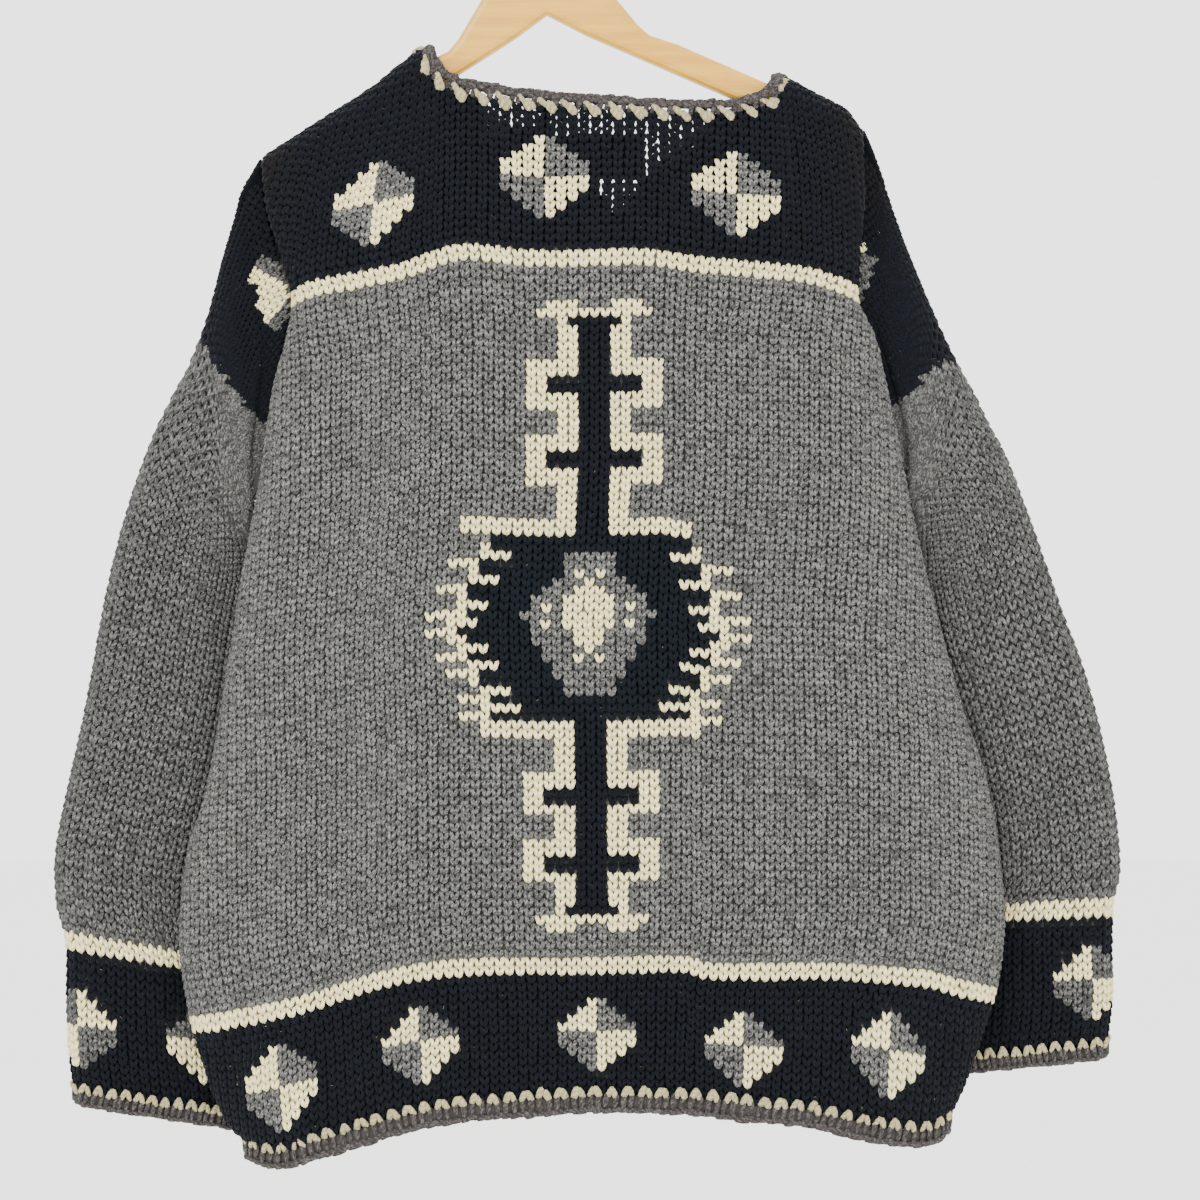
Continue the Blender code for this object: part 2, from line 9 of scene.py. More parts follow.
import bmesh
import bpy
import numpy as np
from bpy.props import FloatProperty, FloatVectorProperty, IntProperty, PointerProperty
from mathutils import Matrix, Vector


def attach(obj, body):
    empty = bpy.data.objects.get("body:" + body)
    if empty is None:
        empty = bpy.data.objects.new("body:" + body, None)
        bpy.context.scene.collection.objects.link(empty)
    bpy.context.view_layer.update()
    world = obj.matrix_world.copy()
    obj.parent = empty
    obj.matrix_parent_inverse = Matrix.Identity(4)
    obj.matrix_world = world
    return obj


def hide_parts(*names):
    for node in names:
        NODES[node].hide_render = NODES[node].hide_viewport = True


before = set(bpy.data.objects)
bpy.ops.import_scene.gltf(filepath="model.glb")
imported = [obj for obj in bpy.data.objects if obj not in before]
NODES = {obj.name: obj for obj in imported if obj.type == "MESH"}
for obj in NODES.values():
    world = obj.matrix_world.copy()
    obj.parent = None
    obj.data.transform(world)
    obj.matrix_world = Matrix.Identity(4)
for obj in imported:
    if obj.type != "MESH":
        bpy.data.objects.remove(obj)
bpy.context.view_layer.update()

bl_info = {
    "name": "Knit sweater on a hanger",
    "version": (1, 0, 0),
    "blender": (4, 5, 0),
    "location": "View3D > Sidebar > Sweater",
    "description": "Knits, edges and hangs a two-ply wool sweater stitch by stitch",
    "category": "Object",
}

MM = 0.001
GRID = 0.70 * MM
RAIL_ACROSS = 532.0
RAIL_DOWN = -175.0
WALL = 4.5 * MM
SEAM_GAP = 0.3 * MM

# Hanger, as far as the shoulders lie on it
TILT = math.radians(4.5)
RAIL_ABOVE_APEX = 134.0 * MM
ARM_SLOPE = math.radians(28.0)
ARM_HEIGHT = 18.0 * MM
RIDGE_CLEARANCE = 0.7 * MM
# Places across where the shoulders begin to drop off the bar's ends
ARM_ENDS = (284.0, 838.0)

# Section of the body
SECTION_POWER = 2.6
SHOULDER_POWER = 6.0
RIDGE_ROUND = 14.0 * MM
UNDERARM_ROW = 1.25
SEAM_ROLL = 4.0 * MM
ARMHOLE_INSET = 25.0 * MM
NECK_LEFT = 0.265
NECK_RIGHT = 0.872
NECK_TURN = 0.02
NECK_LIFT_LEFT = 4.8 * MM
NECK_LIFT_RIGHT = 3.0 * MM
NECK_LIFT_REACH = 40.0 * MM

# Rows from the shoulder, 0, by the yoke stripe, 1, and the low stripe, 2, to the hem, 3
ARMHOLE_ROWS = (0.0, 0.015, 0.05, 0.11, 0.2, 0.35, 0.5, 0.67, 0.83, 1.0, 1.08, 1.16, 1.215, UNDERARM_ROW)

# Side edges: across, down
LEFT_EDGE = (
    (262, 160), (264, 200), (278, 260), (287, 299), (267, 393), (253, 488), (238, 569), (222, 667),
    (201, 791), (182, 854), (174, 939), (182, 1006), (197, 1062), (222, 1122), (240, 1140),
)
RIGHT_EDGE = (
    (862, 131), (866, 200), (863, 296), (880, 337), (896, 406), (920, 525), (944, 623),
    (967, 707), (992, 782), (1005, 858), (1010, 920), (1005, 975), (986, 1040), (967, 1091),
    (955, 1114),
)
# Lines across the body: across, down
BACK_NECK = (
    (421, 60), (423.4, 62), (428, 69), (437, 82), (463, 95), (510, 103), (554, 108), (600, 111),
    (650, 114), (700, 116), (739, 114), (769, 105), (778, 97), (783, 89), (785.2, 86),
)
FRONT_NECK = (
    (421, 60), (423.4, 62), (428, 68), (437, 80), (520, 156), (600, 232), (690, 152), (769, 100),
    (778, 94), (783, 88), (785.2, 86),
)
YOKE_STRIPE = (
    (287, 299), (319, 288), (353, 283), (401, 274), (468, 255), (541, 262), (637, 260),
    (701, 268), (800, 276), (838, 286), (863, 296),
)
LOW_STRIPE = (
    (187, 1033), (236, 1025), (322, 1003), (380, 984), (437, 973), (480, 970), (600, 969),
    (675, 967), (701, 975), (800, 975), (900, 982), (945, 993), (987, 1004),
)
HEM = (
    (240, 1140), (273, 1147), (293, 1144), (322, 1134), (351, 1125), (408, 1108), (466, 1097),
    (552, 1091), (600, 1088), (675, 1089), (755, 1098), (800, 1102), (850, 1114), (900, 1124),
    (922, 1126), (955, 1114),
)
# Depths in millimetres: row, back depth, front depth, back edge, front edge
DEPTHS = (
    (0.0, 15, 15, 0, 0),
    (0.2, 17, 17, 3, 8),
    (0.6, 24, 26, 8, 20),
    (1.0, 31, 31, 10, 25),
    (1.16, 33, 29, 11, 19),
    (UNDERARM_ROW, 34, 26, 11, 11),
    (1.6, 37, 23, 9, 9),
    (2.0, 39, 23, 8, 8),
    (3.0, 42, 27, 7, 7),
)
# Soft folds: side (-1 back, 1 front), across, top row, bottom row, width mm, height mm
FOLDS = (
    (-1, 345, 0.5, 1.9, 26, -4.0),
    (-1, 420, 0.9, 2.6, 34, 3.0),
    (-1, 300, 1.5, 3.3, 24, 4.5),
    (-1, 245, 1.7, 3.4, 16, -3.0),
    (-1, 800, 0.6, 2.0, 26, -4.0),
    (-1, 735, 1.0, 2.7, 32, 2.5),
    (-1, 890, 1.6, 3.3, 26, 4.0),
    (-1, 950, 1.8, 3.4, 15, -3.0),
    (-1, 560, 2.2, 3.5, 40, -3.5),
    (-1, 680, 2.3, 3.5, 24, 2.5),
    (1, 380, 1.9, 3.4, 22, -3.5),
    (1, 470, 1.2, 3.2, 30, 3.5),
    (1, 600, 1.3, 3.3, 34, -3.5),
    (1, 710, 1.2, 3.3, 28, 3.5),
    (1, 800, 1.9, 3.4, 22, -3.0),
)
# Sleeves: outer across, outer down, inner across, inner down, outer y mm, inner y mm, depth mm
SLEEVE_LEFT = (
    (238, 205, 248, 490, 9, 13, 24),
    (219, 268, 246, 506, 15, 19, 29),
    (199, 339, 246, 528, 19, 28, 34),
    (155, 427, 250, 554, 21, 40, 37),
    (122, 520, 276, 606, 20, 50, 38),
    (99, 618, 318, 688, 20, 53, 38),
    (85, 700, 338, 768, 20, 53, 38),
    (64, 795, 323, 860, 20, 53, 38),
    (51, 881, 300, 935, 19, 51, 37),
    (64, 946, 292, 986, 18, 48, 33),
    (65, 1030, 290, 1058, 18, 48, 33),
    (72, 1092, 295, 1130, 18, 50, 34),
)
SLEEVE_RIGHT = (
    (881, 185, 912, 470, 9, 13, 24),
    (903, 240, 916, 486, 15, 18, 29),
    (928, 297, 918, 506, 18, 24, 33),
    (956, 358, 918, 532, 20, 33, 36),
    (1004, 450, 896, 586, 21, 46, 38),
    (1034, 525, 852, 652, 21, 53, 38),
    (1062, 606, 826, 704, 20, 53, 38),
    (1089, 680, 842, 752, 20, 53, 38),
    (1108, 757, 860, 808, 20, 53, 38),
    (1119, 822, 872, 861, 20, 53, 38),
    (1122, 879, 881, 904, 19, 51, 37),
    (1113, 918, 884, 926, 18, 48, 33),
    (1115, 985, 885, 994, 18, 48, 33),
    (1109, 1046, 886, 1072, 18, 50, 34),
)
# Creases of the sleeves: side (-1 back, 1 front), across, down, lean in degrees, then length, width and
# height in mm
SLEEVE_CREASES = (
    (-1, 232, 430, 62, 46, 8, -2.2), (-1, 205, 470, 70, 60, 10, 2.0), (-1, 140, 600, 105, 70, 13, -2.0),
    (-1, 196, 700, 86, 80, 15, 2.2), (-1, 110, 830, 97, 60, 12, 1.8), (-1, 160, 905, 80, 42, 9, -1.8),
    (1, 222, 440, 58, 50, 9, -2.2), (1, 150, 560, 80, 66, 13, 2.0), (1, 190, 720, 100, 80, 14, -2.2),
    (1, 105, 860, 94, 52, 11, 1.8),
    (-1, 945, 440, 118, 50, 9, -2.2), (-1, 985, 520, 104, 64, 11, 2.0), (-1, 1052, 650, 76, 72, 13, -2.0),
    (-1, 1000, 740, 95, 80, 14, 2.2), (-1, 1085, 820, 84, 54, 11, 1.6), (-1, 1020, 870, 100, 38, 8, -1.6),
    (1, 950, 450, 120, 48, 9, -2.2), (1, 1020, 600, 96, 72, 13, 2.0), (1, 1070, 770, 82, 66, 12, -2.0),
    (1, 985, 850, 100, 50, 10, 1.8),
)
# Where a sleeve leans against the body under the arm: across, down, reach and push to +X in mm
UNDERARMS = ((252, 497, 15, 4.0), (911, 474, 15, -4.0), (914, 502, 13, -4.2))
SLEEVE_RINGS = 18
SLEEVE_BLEND = 0.22
SLEEVE_POWER = 2.4

# Knitting: the places are counted in stitches from the middle column and rows from the yoke stripe
NAVY, GREY, CREAM = 0, 1, 2
YARNS = ("navy", "grey", "cream")
BODY_COURSES = 85
HEM_COURSES = 15
COURSE = 8.34 * GRID
SLEEVE_STITCH = 10.0 * GRID
# Width of a stitch on the grid by row
STITCH_WIDTHS = ((0.0, 11.3), (0.9, 11.2), (1.1, 10.5), (1.9, 10.4), (2.1, 9.8), (3.0, 9.6))
# The middle column: down, across
MIDDLE_COLUMN = ((0, 597), (300, 594.5), (470, 594.5), (620, 588), (730, 591), (900, 592), (1100, 592))
# Diamonds: middle column and middle row of each
YOKE_DIAMONDS = ((-20, -9.5), (-4, -10.5), (13, -9.5))
HEM_DIAMONDS = ((-32, 92.5), (-17, 92), (1, 92), (16, 93), (31, 92))
FRONT_YOKE_DIAMONDS = ((-20, -9.5), (20, -9.5))
# Light blocks on the spine, each with a dark bar: first and last row
BLOCKS = ((12, 17), (21, 26), (61, 65), (69, 73))
# Medallion: its middle row, the rows of its inner teeth, and half-widths of its rosette and heart from a
# row on
MEDALLION_MIDDLE = 43.4
TEETH = (35, 38, 41, 43, 46, 48, 51, 53)
ROSETTE = (
    (35, 2.5), (38, 3.5), (39, 4.5), (40, 5.5), (42, 6.5), (43, 5.5), (46, 4.5), (48, 3.5), (50, 2.5),
)
HEART = ((38, 0.5), (39, 1.5), (40, 2.5), (44, 1.5), (46, 0.5))
# Where only the back hangs between the eye and the light: top, bottom, left, right
SHOW_THROUGH = (
    (103, 140, 486, 512), (103, 130, 512, 540), (110, 137, 552, 642), (118, 136, 645, 708),
    (136, 152, 645, 690), (152, 166, 645, 676), (166, 180, 645, 658), (183, 198, 600, 636),
    (198, 216, 606, 624),
)
# Sleeves: stations, panel end, rows in all and below the stripe, area of the tube, navy line, the cap
# diamond's place and slope, and a cuff diamond's place, spacing in columns and whether its column numbers
# start from the right
SLEEVES = {
    "left": {
        "stations": SLEEVE_LEFT, "end": 0, "rows": 104, "cuff_rows": 17.2, "area": 0.175,
        "line": ((150, 300), (202, 339), (217, 364), (229, 382), (244, 404), (259, 417), (340, 470)),
        "cap_diamond": (290, 287, 33), "cuff_diamond": ((77, 1030), 13, True),
    },
    "right": {
        "stations": SLEEVE_RIGHT, "end": -1, "rows": 100, "cuff_rows": 16.6, "area": 0.162,
        "line": ((820, 470), (896, 406), (911, 389), (922, 378), (930, 366), (953, 358), (990, 330)),
        "cap_diamond": (836, 271, -33), "cuff_diamond": ((1091, 983), 14, True),
    },
}

# A leg's middle from the stitch's middle as a share of its width, and how deep it sinks into the cloth
LEG_OFFSET = 0.23
LEG_SINK = 0.7 * MM
# Between these places across a neck column goes on under the edging, by a part of a row
LENGTHENED = (434, 768)
EXTRA_ROW = 0.75
# The shortest and tallest stitch kept
STITCH_HEIGHTS = (0.12 * COURSE, 2.2 * COURSE)
# The skin behind the stitches, and its colours beside the yarns'. The skin shows only in the gaps
# between the stitches, and its shade factor is painted shade that darkens all its colours; the navy's
# own factor undoes most of it for the navy.
SKIN_INSET = 1.6 * MM
SKIN_THICKNESS = 1.9 * MM
WRONG_SIDE_PAINTED_SHADE = 0.42
WRONG_SIDE_NAVY = 2.2
WRONG_SIDE_CREAM = (0.42, 0.40, 0.33)
NAVY_SKIN_ROW = -1.5
# The crochet's ecru is the cream darkened: partly a duller yarn, partly painted shade, as the edging lies
# in shade.
ECRU_TONE_AND_PAINTED_SHADE = 0.45
# The navy is teal about a middle, with its reach across and down. It is worn brown near the shoulders'
# ends: from a height up and from this far off the middle out, each by degrees.
TEAL = (0.0016, 0.0052, 0.0080)
TEAL_MIDDLE = (592, 625)
TEAL_REACH = (150, 110)
WORN = (0.0060, 0.0045, 0.0042)
WORN_FROM = (240, 60.0 * MM)
WORN_MIDDLE = 563
WORN_OUT = (178.0 * MM, 36.0 * MM)
# A leg is this much wider where the light comes through
OPEN_WIDER = 1.2
# Loose hairs and lint
HAIR_LENGTH = 6.5 * MM
LINT_LENGTH = 2.4 * MM
HAIR_WIDTH = 4.0 * MM
HAIR_RISE = 5.0 * MM
HAIR_LIFT = 0.8 * MM
# Crochet: the pitch of each edge in mm, and the strokes of one repeat: yarn, offset in pitches, then start
# and end as along, away and out in mm, and the stroke's width and thickness in mm
HEM_PITCH = 11.6
CUFF_PITCH = 9.2
CUFF_SCALE = 0.82
NECK_PITCH = 15.4
HEM_CROCHET = (
    ("ecru", 0.0, (-3.4, 1.0, 3.2), (-0.2, -5.6, 3.8), 5.2, 3.8),
    ("ecru", 0.0, (3.5, 1.4, 3.2), (0.6, -5.0, 3.9), 5.2, 3.8),
    ("ecru", 0.0, (1.0, 1.6, -3.0), (-0.6, -4.6, -3.4), 4.6, 3.0),
    ("edging", -0.25, (0.4, -1.6, 3.4), (-0.7, 9.0, 2.9), 4.4, 3.2),
    ("edging", 0.25, (0.5, -1.4, 3.4), (-0.5, 9.2, 2.9), 4.4, 3.2),
    ("edging", -0.25, (-4.2, 11.0, 1.4), (3.4, 9.8, 2.6), 4.6, 3.8),
    ("edging", 0.25, (-4.2, 11.2, 1.4), (3.4, 9.8, 2.6), 4.6, 3.8),
    ("edging", -0.25, (0.4, 0.6, -3.1), (-0.7, 9.2, -2.7), 4.8, 3.0),
    ("edging", 0.25, (0.4, 0.6, -3.1), (-0.7, 9.2, -2.7), 4.8, 3.0),
    ("edging", 0.0, (-5.0, 11.2, -1.2), (5.0, 10.4, -2.4), 4.6, 3.8),
)
NECK_CROCHET = (
    ("ecru", 0.0, (-5.4, 4.4, 2.8), (0.4, -0.8, 3.9), 4.4, 3.4),
    ("ecru", 0.0, (-1.2, 1.0, 3.6), (3.8, -5.2, 4.4), 6.4, 4.2),
    ("ecru", 0.0, (0.6, 1.4, 3.4), (5.6, -3.6, 4.2), 5.0, 3.6),
    ("ecru", 0.0, (-4.0, 2.6, -2.2), (2.0, -5.6, -3.4), 4.6, 3.4),
    ("edging", 0.40, (-0.8, -1.6, 2.6), (0.9, 5.2, 2.2), 4.8, 3.4),
    ("edging", 0.68, (-0.8, -1.4, 2.6), (0.9, 5.2, 2.2), 4.4, 3.4),
    *(("edging", part, (-3.6, 4.8, side * 2.3), (2.9, 7.4, side * 1.6), 4.8, 4.0)
      for part in (-0.333, 0.0, 0.333) for side in (1, -1)),
    *(("edging", part, (-3.4, 7.6, 0.4), (3.2, 8.6, -0.2), 4.8, 3.8) for part in (-0.17, 0.16, 0.49)),
)

# Lamps: name, place, size and power, all turned to one place
LAMPS = (
    ("key", (-1.3, -2.6, 0.9), 1.6, 60.0), ("fill", (1.7, -2.4, -0.2), 1.8, 20.0),
    ("rim", (0.4, 2.4, 0.8), 1.8, 30.0),
)
LAMP_TARGET = (0.05, 0.0, -0.55)
FLOOR_REACH = 12.0
VIEW_MIDDLE = 600
SENSOR_WIDTH = 36.0

TOOLS = {}


def tint(name, description, default):
    return FloatVectorProperty(
        name=name, description=description, default=default, subtype="COLOR", size=3, min=0, max=1)


class YarnSettings(bpy.types.PropertyGroup):
    """Colours of the wool, and how a stitch's leg fills its place."""

    navy: tint("Navy", "Colour of the dark yarn", (0.0019, 0.0028, 0.0054))
    grey: tint("Heather grey", "Colour of the flecked grey yarn", (0.092, 0.092, 0.088))
    # Painted shade: the sleeves' grey is made darker than the body's, standing in for the shade that the
    # sleeves hang in.
    sleeve_painted_shade: FloatProperty(
        name="Sleeve painted shade", description="Darkness of the sleeves' grey beside the body's",
        default=0.76, min=0.2, max=1.5)
    cream: tint("Cream", "Colour of the undyed yarn", (0.80, 0.71, 0.38))
    edging: tint("Edging", "Colour of the crocheted edges", (0.050, 0.044, 0.042))
    leg_width: FloatProperty(
        name="Leg width", description="Width of a stitch's leg as a share of the stitch",
        default=0.57, min=0.2, max=1.2)
    leg_length: FloatProperty(
        name="Leg length", description="Length of a leg as a share of the row's height",
        default=1.75, min=1.0, max=3.0)
    leg_thickness: FloatProperty(
        name="Leg thickness", description="Thickness of a leg as a share of the stitch's width",
        default=0.50, min=0.2, max=1.2)
    leg_lean: FloatProperty(
        name="Leg lean", description="Angle of a leg from the column of stitches",
        default=math.radians(20.0), subtype="ANGLE")
    leg_tuck: FloatProperty(
        name="Leg tuck", description="Angle by which a leg's upper end dips behind the next row",
        default=math.radians(9.0), subtype="ANGLE")
    unevenness: FloatProperty(
        name="Unevenness", description="How much the hand-made stitches differ in turn",
        default=math.radians(5.0), subtype="ANGLE")
    seed: IntProperty(name="Seed", description="Start of the random unevenness", default=7)


class HangerSettings(bpy.types.PropertyGroup):
    """Looks of the wooden bar and the wire hook."""

    wood: tint("Wood", "Colour of the varnished wood", (0.62, 0.33, 0.016))
    grain: tint("Grain", "Colour of the darker grain", (0.48, 0.22, 0.010))
    steel: tint("Steel", "Colour of the wire", (0.30, 0.31, 0.33))


class StageSettings(bpy.types.PropertyGroup):
    """Camera and floor."""

    distance: FloatProperty(
        name="Camera distance", description="From the camera to the hanger's plane",
        default=3.0, unit="LENGTH", min=0.5)
    frame_width: FloatProperty(
        name="Frame width", description="Width seen at the hanger's plane",
        default=0.84, unit="LENGTH", min=0.1)
    daylight: FloatProperty(
        name="Daylight", description="Strength of the even light all round", default=2.9, min=0.0)
    floor_drop: FloatProperty(
        name="Floor drop", description="How far the floor lies below the rail",
        default=1.45, unit="LENGTH", min=1.0)


class Value:
    """A shader socket that takes part in plain arithmetic."""

    def __init__(self, graph, socket):
        self.graph = graph
        self.socket = socket

    def _with(self, operation, *values):
        return self.graph.add("ShaderNodeMath", {"operation": operation}, *values)

    def __add__(self, other):
        return self._with("ADD", self, other)

    def __mul__(self, other):
        return self._with("MULTIPLY", self, other)

    def __sub__(self, other):
        return self._with("SUBTRACT", self, other)

    def __rsub__(self, other):
        return self._with("SUBTRACT", other, self)

    __radd__ = __add__
    __rmul__ = __mul__

    def sine(self):
        return self._with("SINE", self)

    def clamped(self):
        return self.graph.add("ShaderNodeClamp", {}, self)


class Shader:
    """A material's node tree, built from expressions."""

    def __init__(self, name):
        self.material = bpy.data.materials.new(name)
        self.material.use_nodes = True
        self.nodes = self.material.node_tree.nodes
        self.links = self.material.node_tree.links
        self.principled = self.nodes["Principled BSDF"]

    def add(self, kind, settings, *values, output=0, **named):
        """A node of that kind, its settings made first and then its sockets filled in order or by name."""
        node = self.nodes.new(kind)
        for key, value in settings.items():
            if key == "stops":
                self._stops(node.color_ramp, value)
            else:
                setattr(node, key, value)
        for key, value in [*enumerate(values), *named.items()]:
            self._fill(node.inputs[key.replace("_", " ") if isinstance(key, str) else key], value)
        return Value(self, node.outputs[output])

    def _stops(self, ramp, stops):
        for place, colour in stops[2:]:
            ramp.elements.new(place)
        for element, (place, colour) in zip(ramp.elements, sorted(stops)):
            element.position = place
            element.color = colour if hasattr(colour, "__len__") else (colour, colour, colour, 1.0)

    def _fill(self, socket, value):
        if isinstance(value, Value):
            self.links.new(value.socket, socket)
        else:
            socket.default_value = value

    def set(self, **values):
        for key, value in values.items():
            self._fill(self.principled.inputs[key.replace("_", " ")], value)

    def place(self):
        return self.add("ShaderNodeTexCoord", {}, output="Object")

    def uv(self):
        return self.add("ShaderNodeUVMap", {"uv_map": "UVMap"})

    def attribute(self, name, output="Fac"):
        return self.add("ShaderNodeAttribute", {"attribute_name": name}, output=output)

    def stretched(self, vector, scale):
        return self.add("ShaderNodeMapping", {}, vector, Scale=scale)

    def noise(self, vector, scale, detail=2.0, roughness=0.5, output="Fac"):
        return self.add("ShaderNodeTexNoise", {}, output=output, Vector=vector, Scale=scale,
                        Detail=detail, Roughness=roughness)

    def ramp(self, value, stops, output="Color"):
        return self.add("ShaderNodeValToRGB", {"stops": stops}, value, output=output)

    def mix(self, factor, first, second, blend="MIX"):
        node = self.nodes.new("ShaderNodeMix")
        node.data_type = "RGBA"
        node.blend_type = blend
        for socket, value in zip((node.inputs[0], node.inputs[6], node.inputs[7]), (factor, first, second)):
            self._fill(socket, value)
        return Value(self, node.outputs[2])

    def bump(self, height, strength, distance):
        return self.add("ShaderNodeBump", {}, output="Normal", Height=height, Strength=strength,
                        Distance=distance)


def rgba(colour, share=1.0):
    return (*(channel * share for channel in colour), 1.0)


def yarn_material(name, colour, flecks, sheen, teal=0.0, fade=0.0):
    """Two-ply wool. Flecks are the dark and light shares of a heather; fade browns the shoulders' ends."""
    shader = Shader(name)
    place = shader.place()
    leg = shader.attribute("shade")
    around = shader.add("ShaderNodeSeparateXYZ", {}, shader.uv(), output="X")
    along = shader.add("ShaderNodeSeparateXYZ", {}, shader.uv(), output="Y")
    fibre = shader.add("ShaderNodeCombineXYZ", {}, around * 9.0 + along * 4.0, along * 5.0, leg * 97.0)
    fine = shader.noise(fibre, 1.15, 2.0, 0.6)
    coarse = shader.noise(shader.stretched(place, (1.0, 1.0, 0.5)), 420.0, 2.0, 0.6)
    broad = shader.noise(place, 13.0, 2.0)
    dark, light = flecks
    salt = shader.ramp(fine * 0.75 + coarse * 0.25, (
        (0.41, rgba(colour, 1.0 - dark)), (0.48, rgba(colour, 1.0 - dark * 0.45)),
        (0.53, rgba(colour, 1.0 + light * 0.2)), (0.60, rgba(colour, 1.0 + light))))
    patchy = (leg * 0.55 + broad * 0.45).clamped()
    tone = shader.mix(patchy, rgba((0.84, 0.84, 0.85)), rgba((1.12, 1.12, 1.10)))
    base = shader.mix(1.0, salt, tone, "MULTIPLY")
    twist = (around * 12.566 + along * 15.0).sine() * 0.5 + 0.5
    # Painted shade and highlight: the ply's colour is darker in the grooves between the plies, where the
    # twist's bump is low, and a little lighter on their crests.
    ply = shader.mix(twist, rgba((0.78, 0.77, 0.76)), rgba((1.06, 1.06, 1.06)))
    base = shader.mix(1.0, base, ply, "MULTIPLY")
    if teal:
        base = shader.mix(shader.attribute("middle") * teal, base, rgba(TEAL))
    if fade:
        base = shader.mix(shader.attribute("worn") * fade, base, rgba(WORN))
    hairs = shader.noise(shader.stretched(place, (1.0, 1.0, 0.3)), 2600.0, 2.0, 0.7)
    height = twist * 0.6 + hairs * 0.3 + fine * 0.5
    shader.set(Base_Color=base, Roughness=0.95, Normal=shader.bump(height, 0.7, 0.0009))
    shader.set(Sheen_Weight=sheen, Sheen_Roughness=0.6, Sheen_Tint=rgba((0.8, 0.78, 0.74)))
    shader.set(Specular_IOR_Level=0.12)
    return shader.material


def cloth_material(name):
    """What shows between and behind the stitches: the loops of the wrong side, in shadow."""
    shader = Shader(name)
    colour = shader.attribute("yarn", "Color")
    place = shader.place()
    loops = shader.add("ShaderNodeTexWave", {"wave_type": "BANDS", "bands_direction": "Z"}, place,
                       Scale=27.0, Distortion=1.5, Detail=1.0)
    fine = shader.noise(place, 700.0, 3.0, 0.6)
    worn = shader.mix(fine, rgba((0.6, 0.6, 0.6)), rgba((1.1, 1.1, 1.1)))
    base = shader.mix(1.0, colour, worn, "MULTIPLY")
    shader.set(Base_Color=base, Roughness=0.95, Normal=shader.bump(loops * 0.6 + fine * 0.4, 0.8, 0.0015))
    shader.set(Specular_IOR_Level=0.1)
    return shader.material


def wood_material(settings):
    shader = Shader("varnished_wood")
    place = shader.place()
    stretched = shader.stretched(place, (9.0, 60.0, 110.0))
    rings = shader.noise(stretched, 1.0, 5.0, 0.6)
    streaks = shader.noise(shader.stretched(place, (30.0, 900.0, 1400.0)), 1.0, 3.0, 0.7)
    grain = shader.ramp(rings * 0.7 + streaks * 0.3, ((0.38, 0.0), (0.62, 1.0)), "Color")
    base = shader.mix(grain, rgba(settings.grain), rgba(settings.wood))
    shader.set(Base_Color=base, Roughness=streaks * 0.12 + 0.28, Normal=shader.bump(streaks, 0.12, 0.0004))
    shader.set(Coat_Weight=0.2, Coat_Roughness=0.25)
    return shader.material


def steel_material(settings):
    shader = Shader("bent_wire")
    place = shader.place()
    drawn = shader.noise(shader.stretched(place, (300.0, 300.0, 40.0)), 3.0, 3.0, 0.6)
    dull = shader.noise(place, 90.0, 2.0)
    base = shader.mix(dull, rgba(settings.steel, 0.82), rgba(settings.steel, 1.08))
    shader.set(Base_Color=base, Roughness=drawn * 0.16 + 0.2, Normal=shader.bump(drawn, 0.15, 0.0002))
    shader.set(Metallic=1.0)
    return shader.material


def plain_material(name, colour, roughness):
    shader = Shader(name)
    soft = shader.noise(shader.place(), 2.0, 1.0)
    base = shader.mix(soft, rgba(colour, 0.99), rgba(colour, 1.01))
    shader.set(Base_Color=base, Roughness=roughness, Specular_IOR_Level=0.1)
    return shader.material


def place_x(across):
    return (np.asarray(across, float) - RAIL_ACROSS) * GRID


def place_z(down):
    return (RAIL_DOWN - np.asarray(down, float)) * GRID


def smooth(knots, values, at):
    """Cubic through the knots, which rise, with no overshoot between them."""
    knots = np.asarray(knots, float)
    values = np.asarray(values, float)
    steps = np.diff(values) / np.diff(knots)
    before = np.concatenate([steps[:1], steps])
    after = np.concatenate([steps, steps[-1:]])
    same_way = before * after > 0
    total = np.where(same_way, before + after, 1.0)
    slopes = np.where(same_way, 2 * before * after / total, 0.0)
    slopes[0] = steps[0]
    slopes[-1] = steps[-1]
    at = np.clip(at, knots[0], knots[-1])
    low = np.clip(np.searchsorted(knots, at, side="right") - 1, 0, len(knots) - 2)
    width = knots[low + 1] - knots[low]
    t = (at - knots[low]) / width
    rise = values[low] * (1 + 2 * t) * (1 - t) ** 2 + values[low + 1] * t * t * (3 - 2 * t)
    return rise + width * (slopes[low] * t * (1 - t) ** 2 - slopes[low + 1] * t * t * (1 - t))


def ease(t):
    t = np.clip(t, 0.0, 1.0)
    return t * t * (3 - 2 * t)


def unit(vectors):
    return vectors / np.maximum(np.linalg.norm(vectors, axis=-1, keepdims=True), 1e-9)


def squared(vectors, axis):
    """Unit vectors turned square to an axis."""
    return unit(vectors - axis * (vectors * axis).sum(axis=1, keepdims=True))


def blended(at, knots, table):
    """The rows of a table at some places between its knots."""
    return np.array([np.interp(at, knots, column) for column in table.T]).T


def on_line(line, x):
    """Height of a line across the body where it passes x."""
    points = np.array(line, float)
    return smooth(place_x(points[:, 0]), place_z(points[:, 1]), x)


def edge_x(edge, z):
    points = np.array(edge, float)
    return smooth(-place_z(points[:, 1]), place_x(points[:, 0]), -z)


def arm_top(x):
    """Height of the bar's straight upper edges in the tilted hanger."""
    apex_x = RAIL_ABOVE_APEX * math.sin(TILT)
    apex_z = -RAIL_ABOVE_APEX * math.cos(TILT)
    slope = ARM_SLOPE + np.where(x < apex_x, TILT, -TILT)
    return apex_z - np.abs(x - apex_x) * np.tan(slope) + ARM_HEIGHT / np.cos(slope)


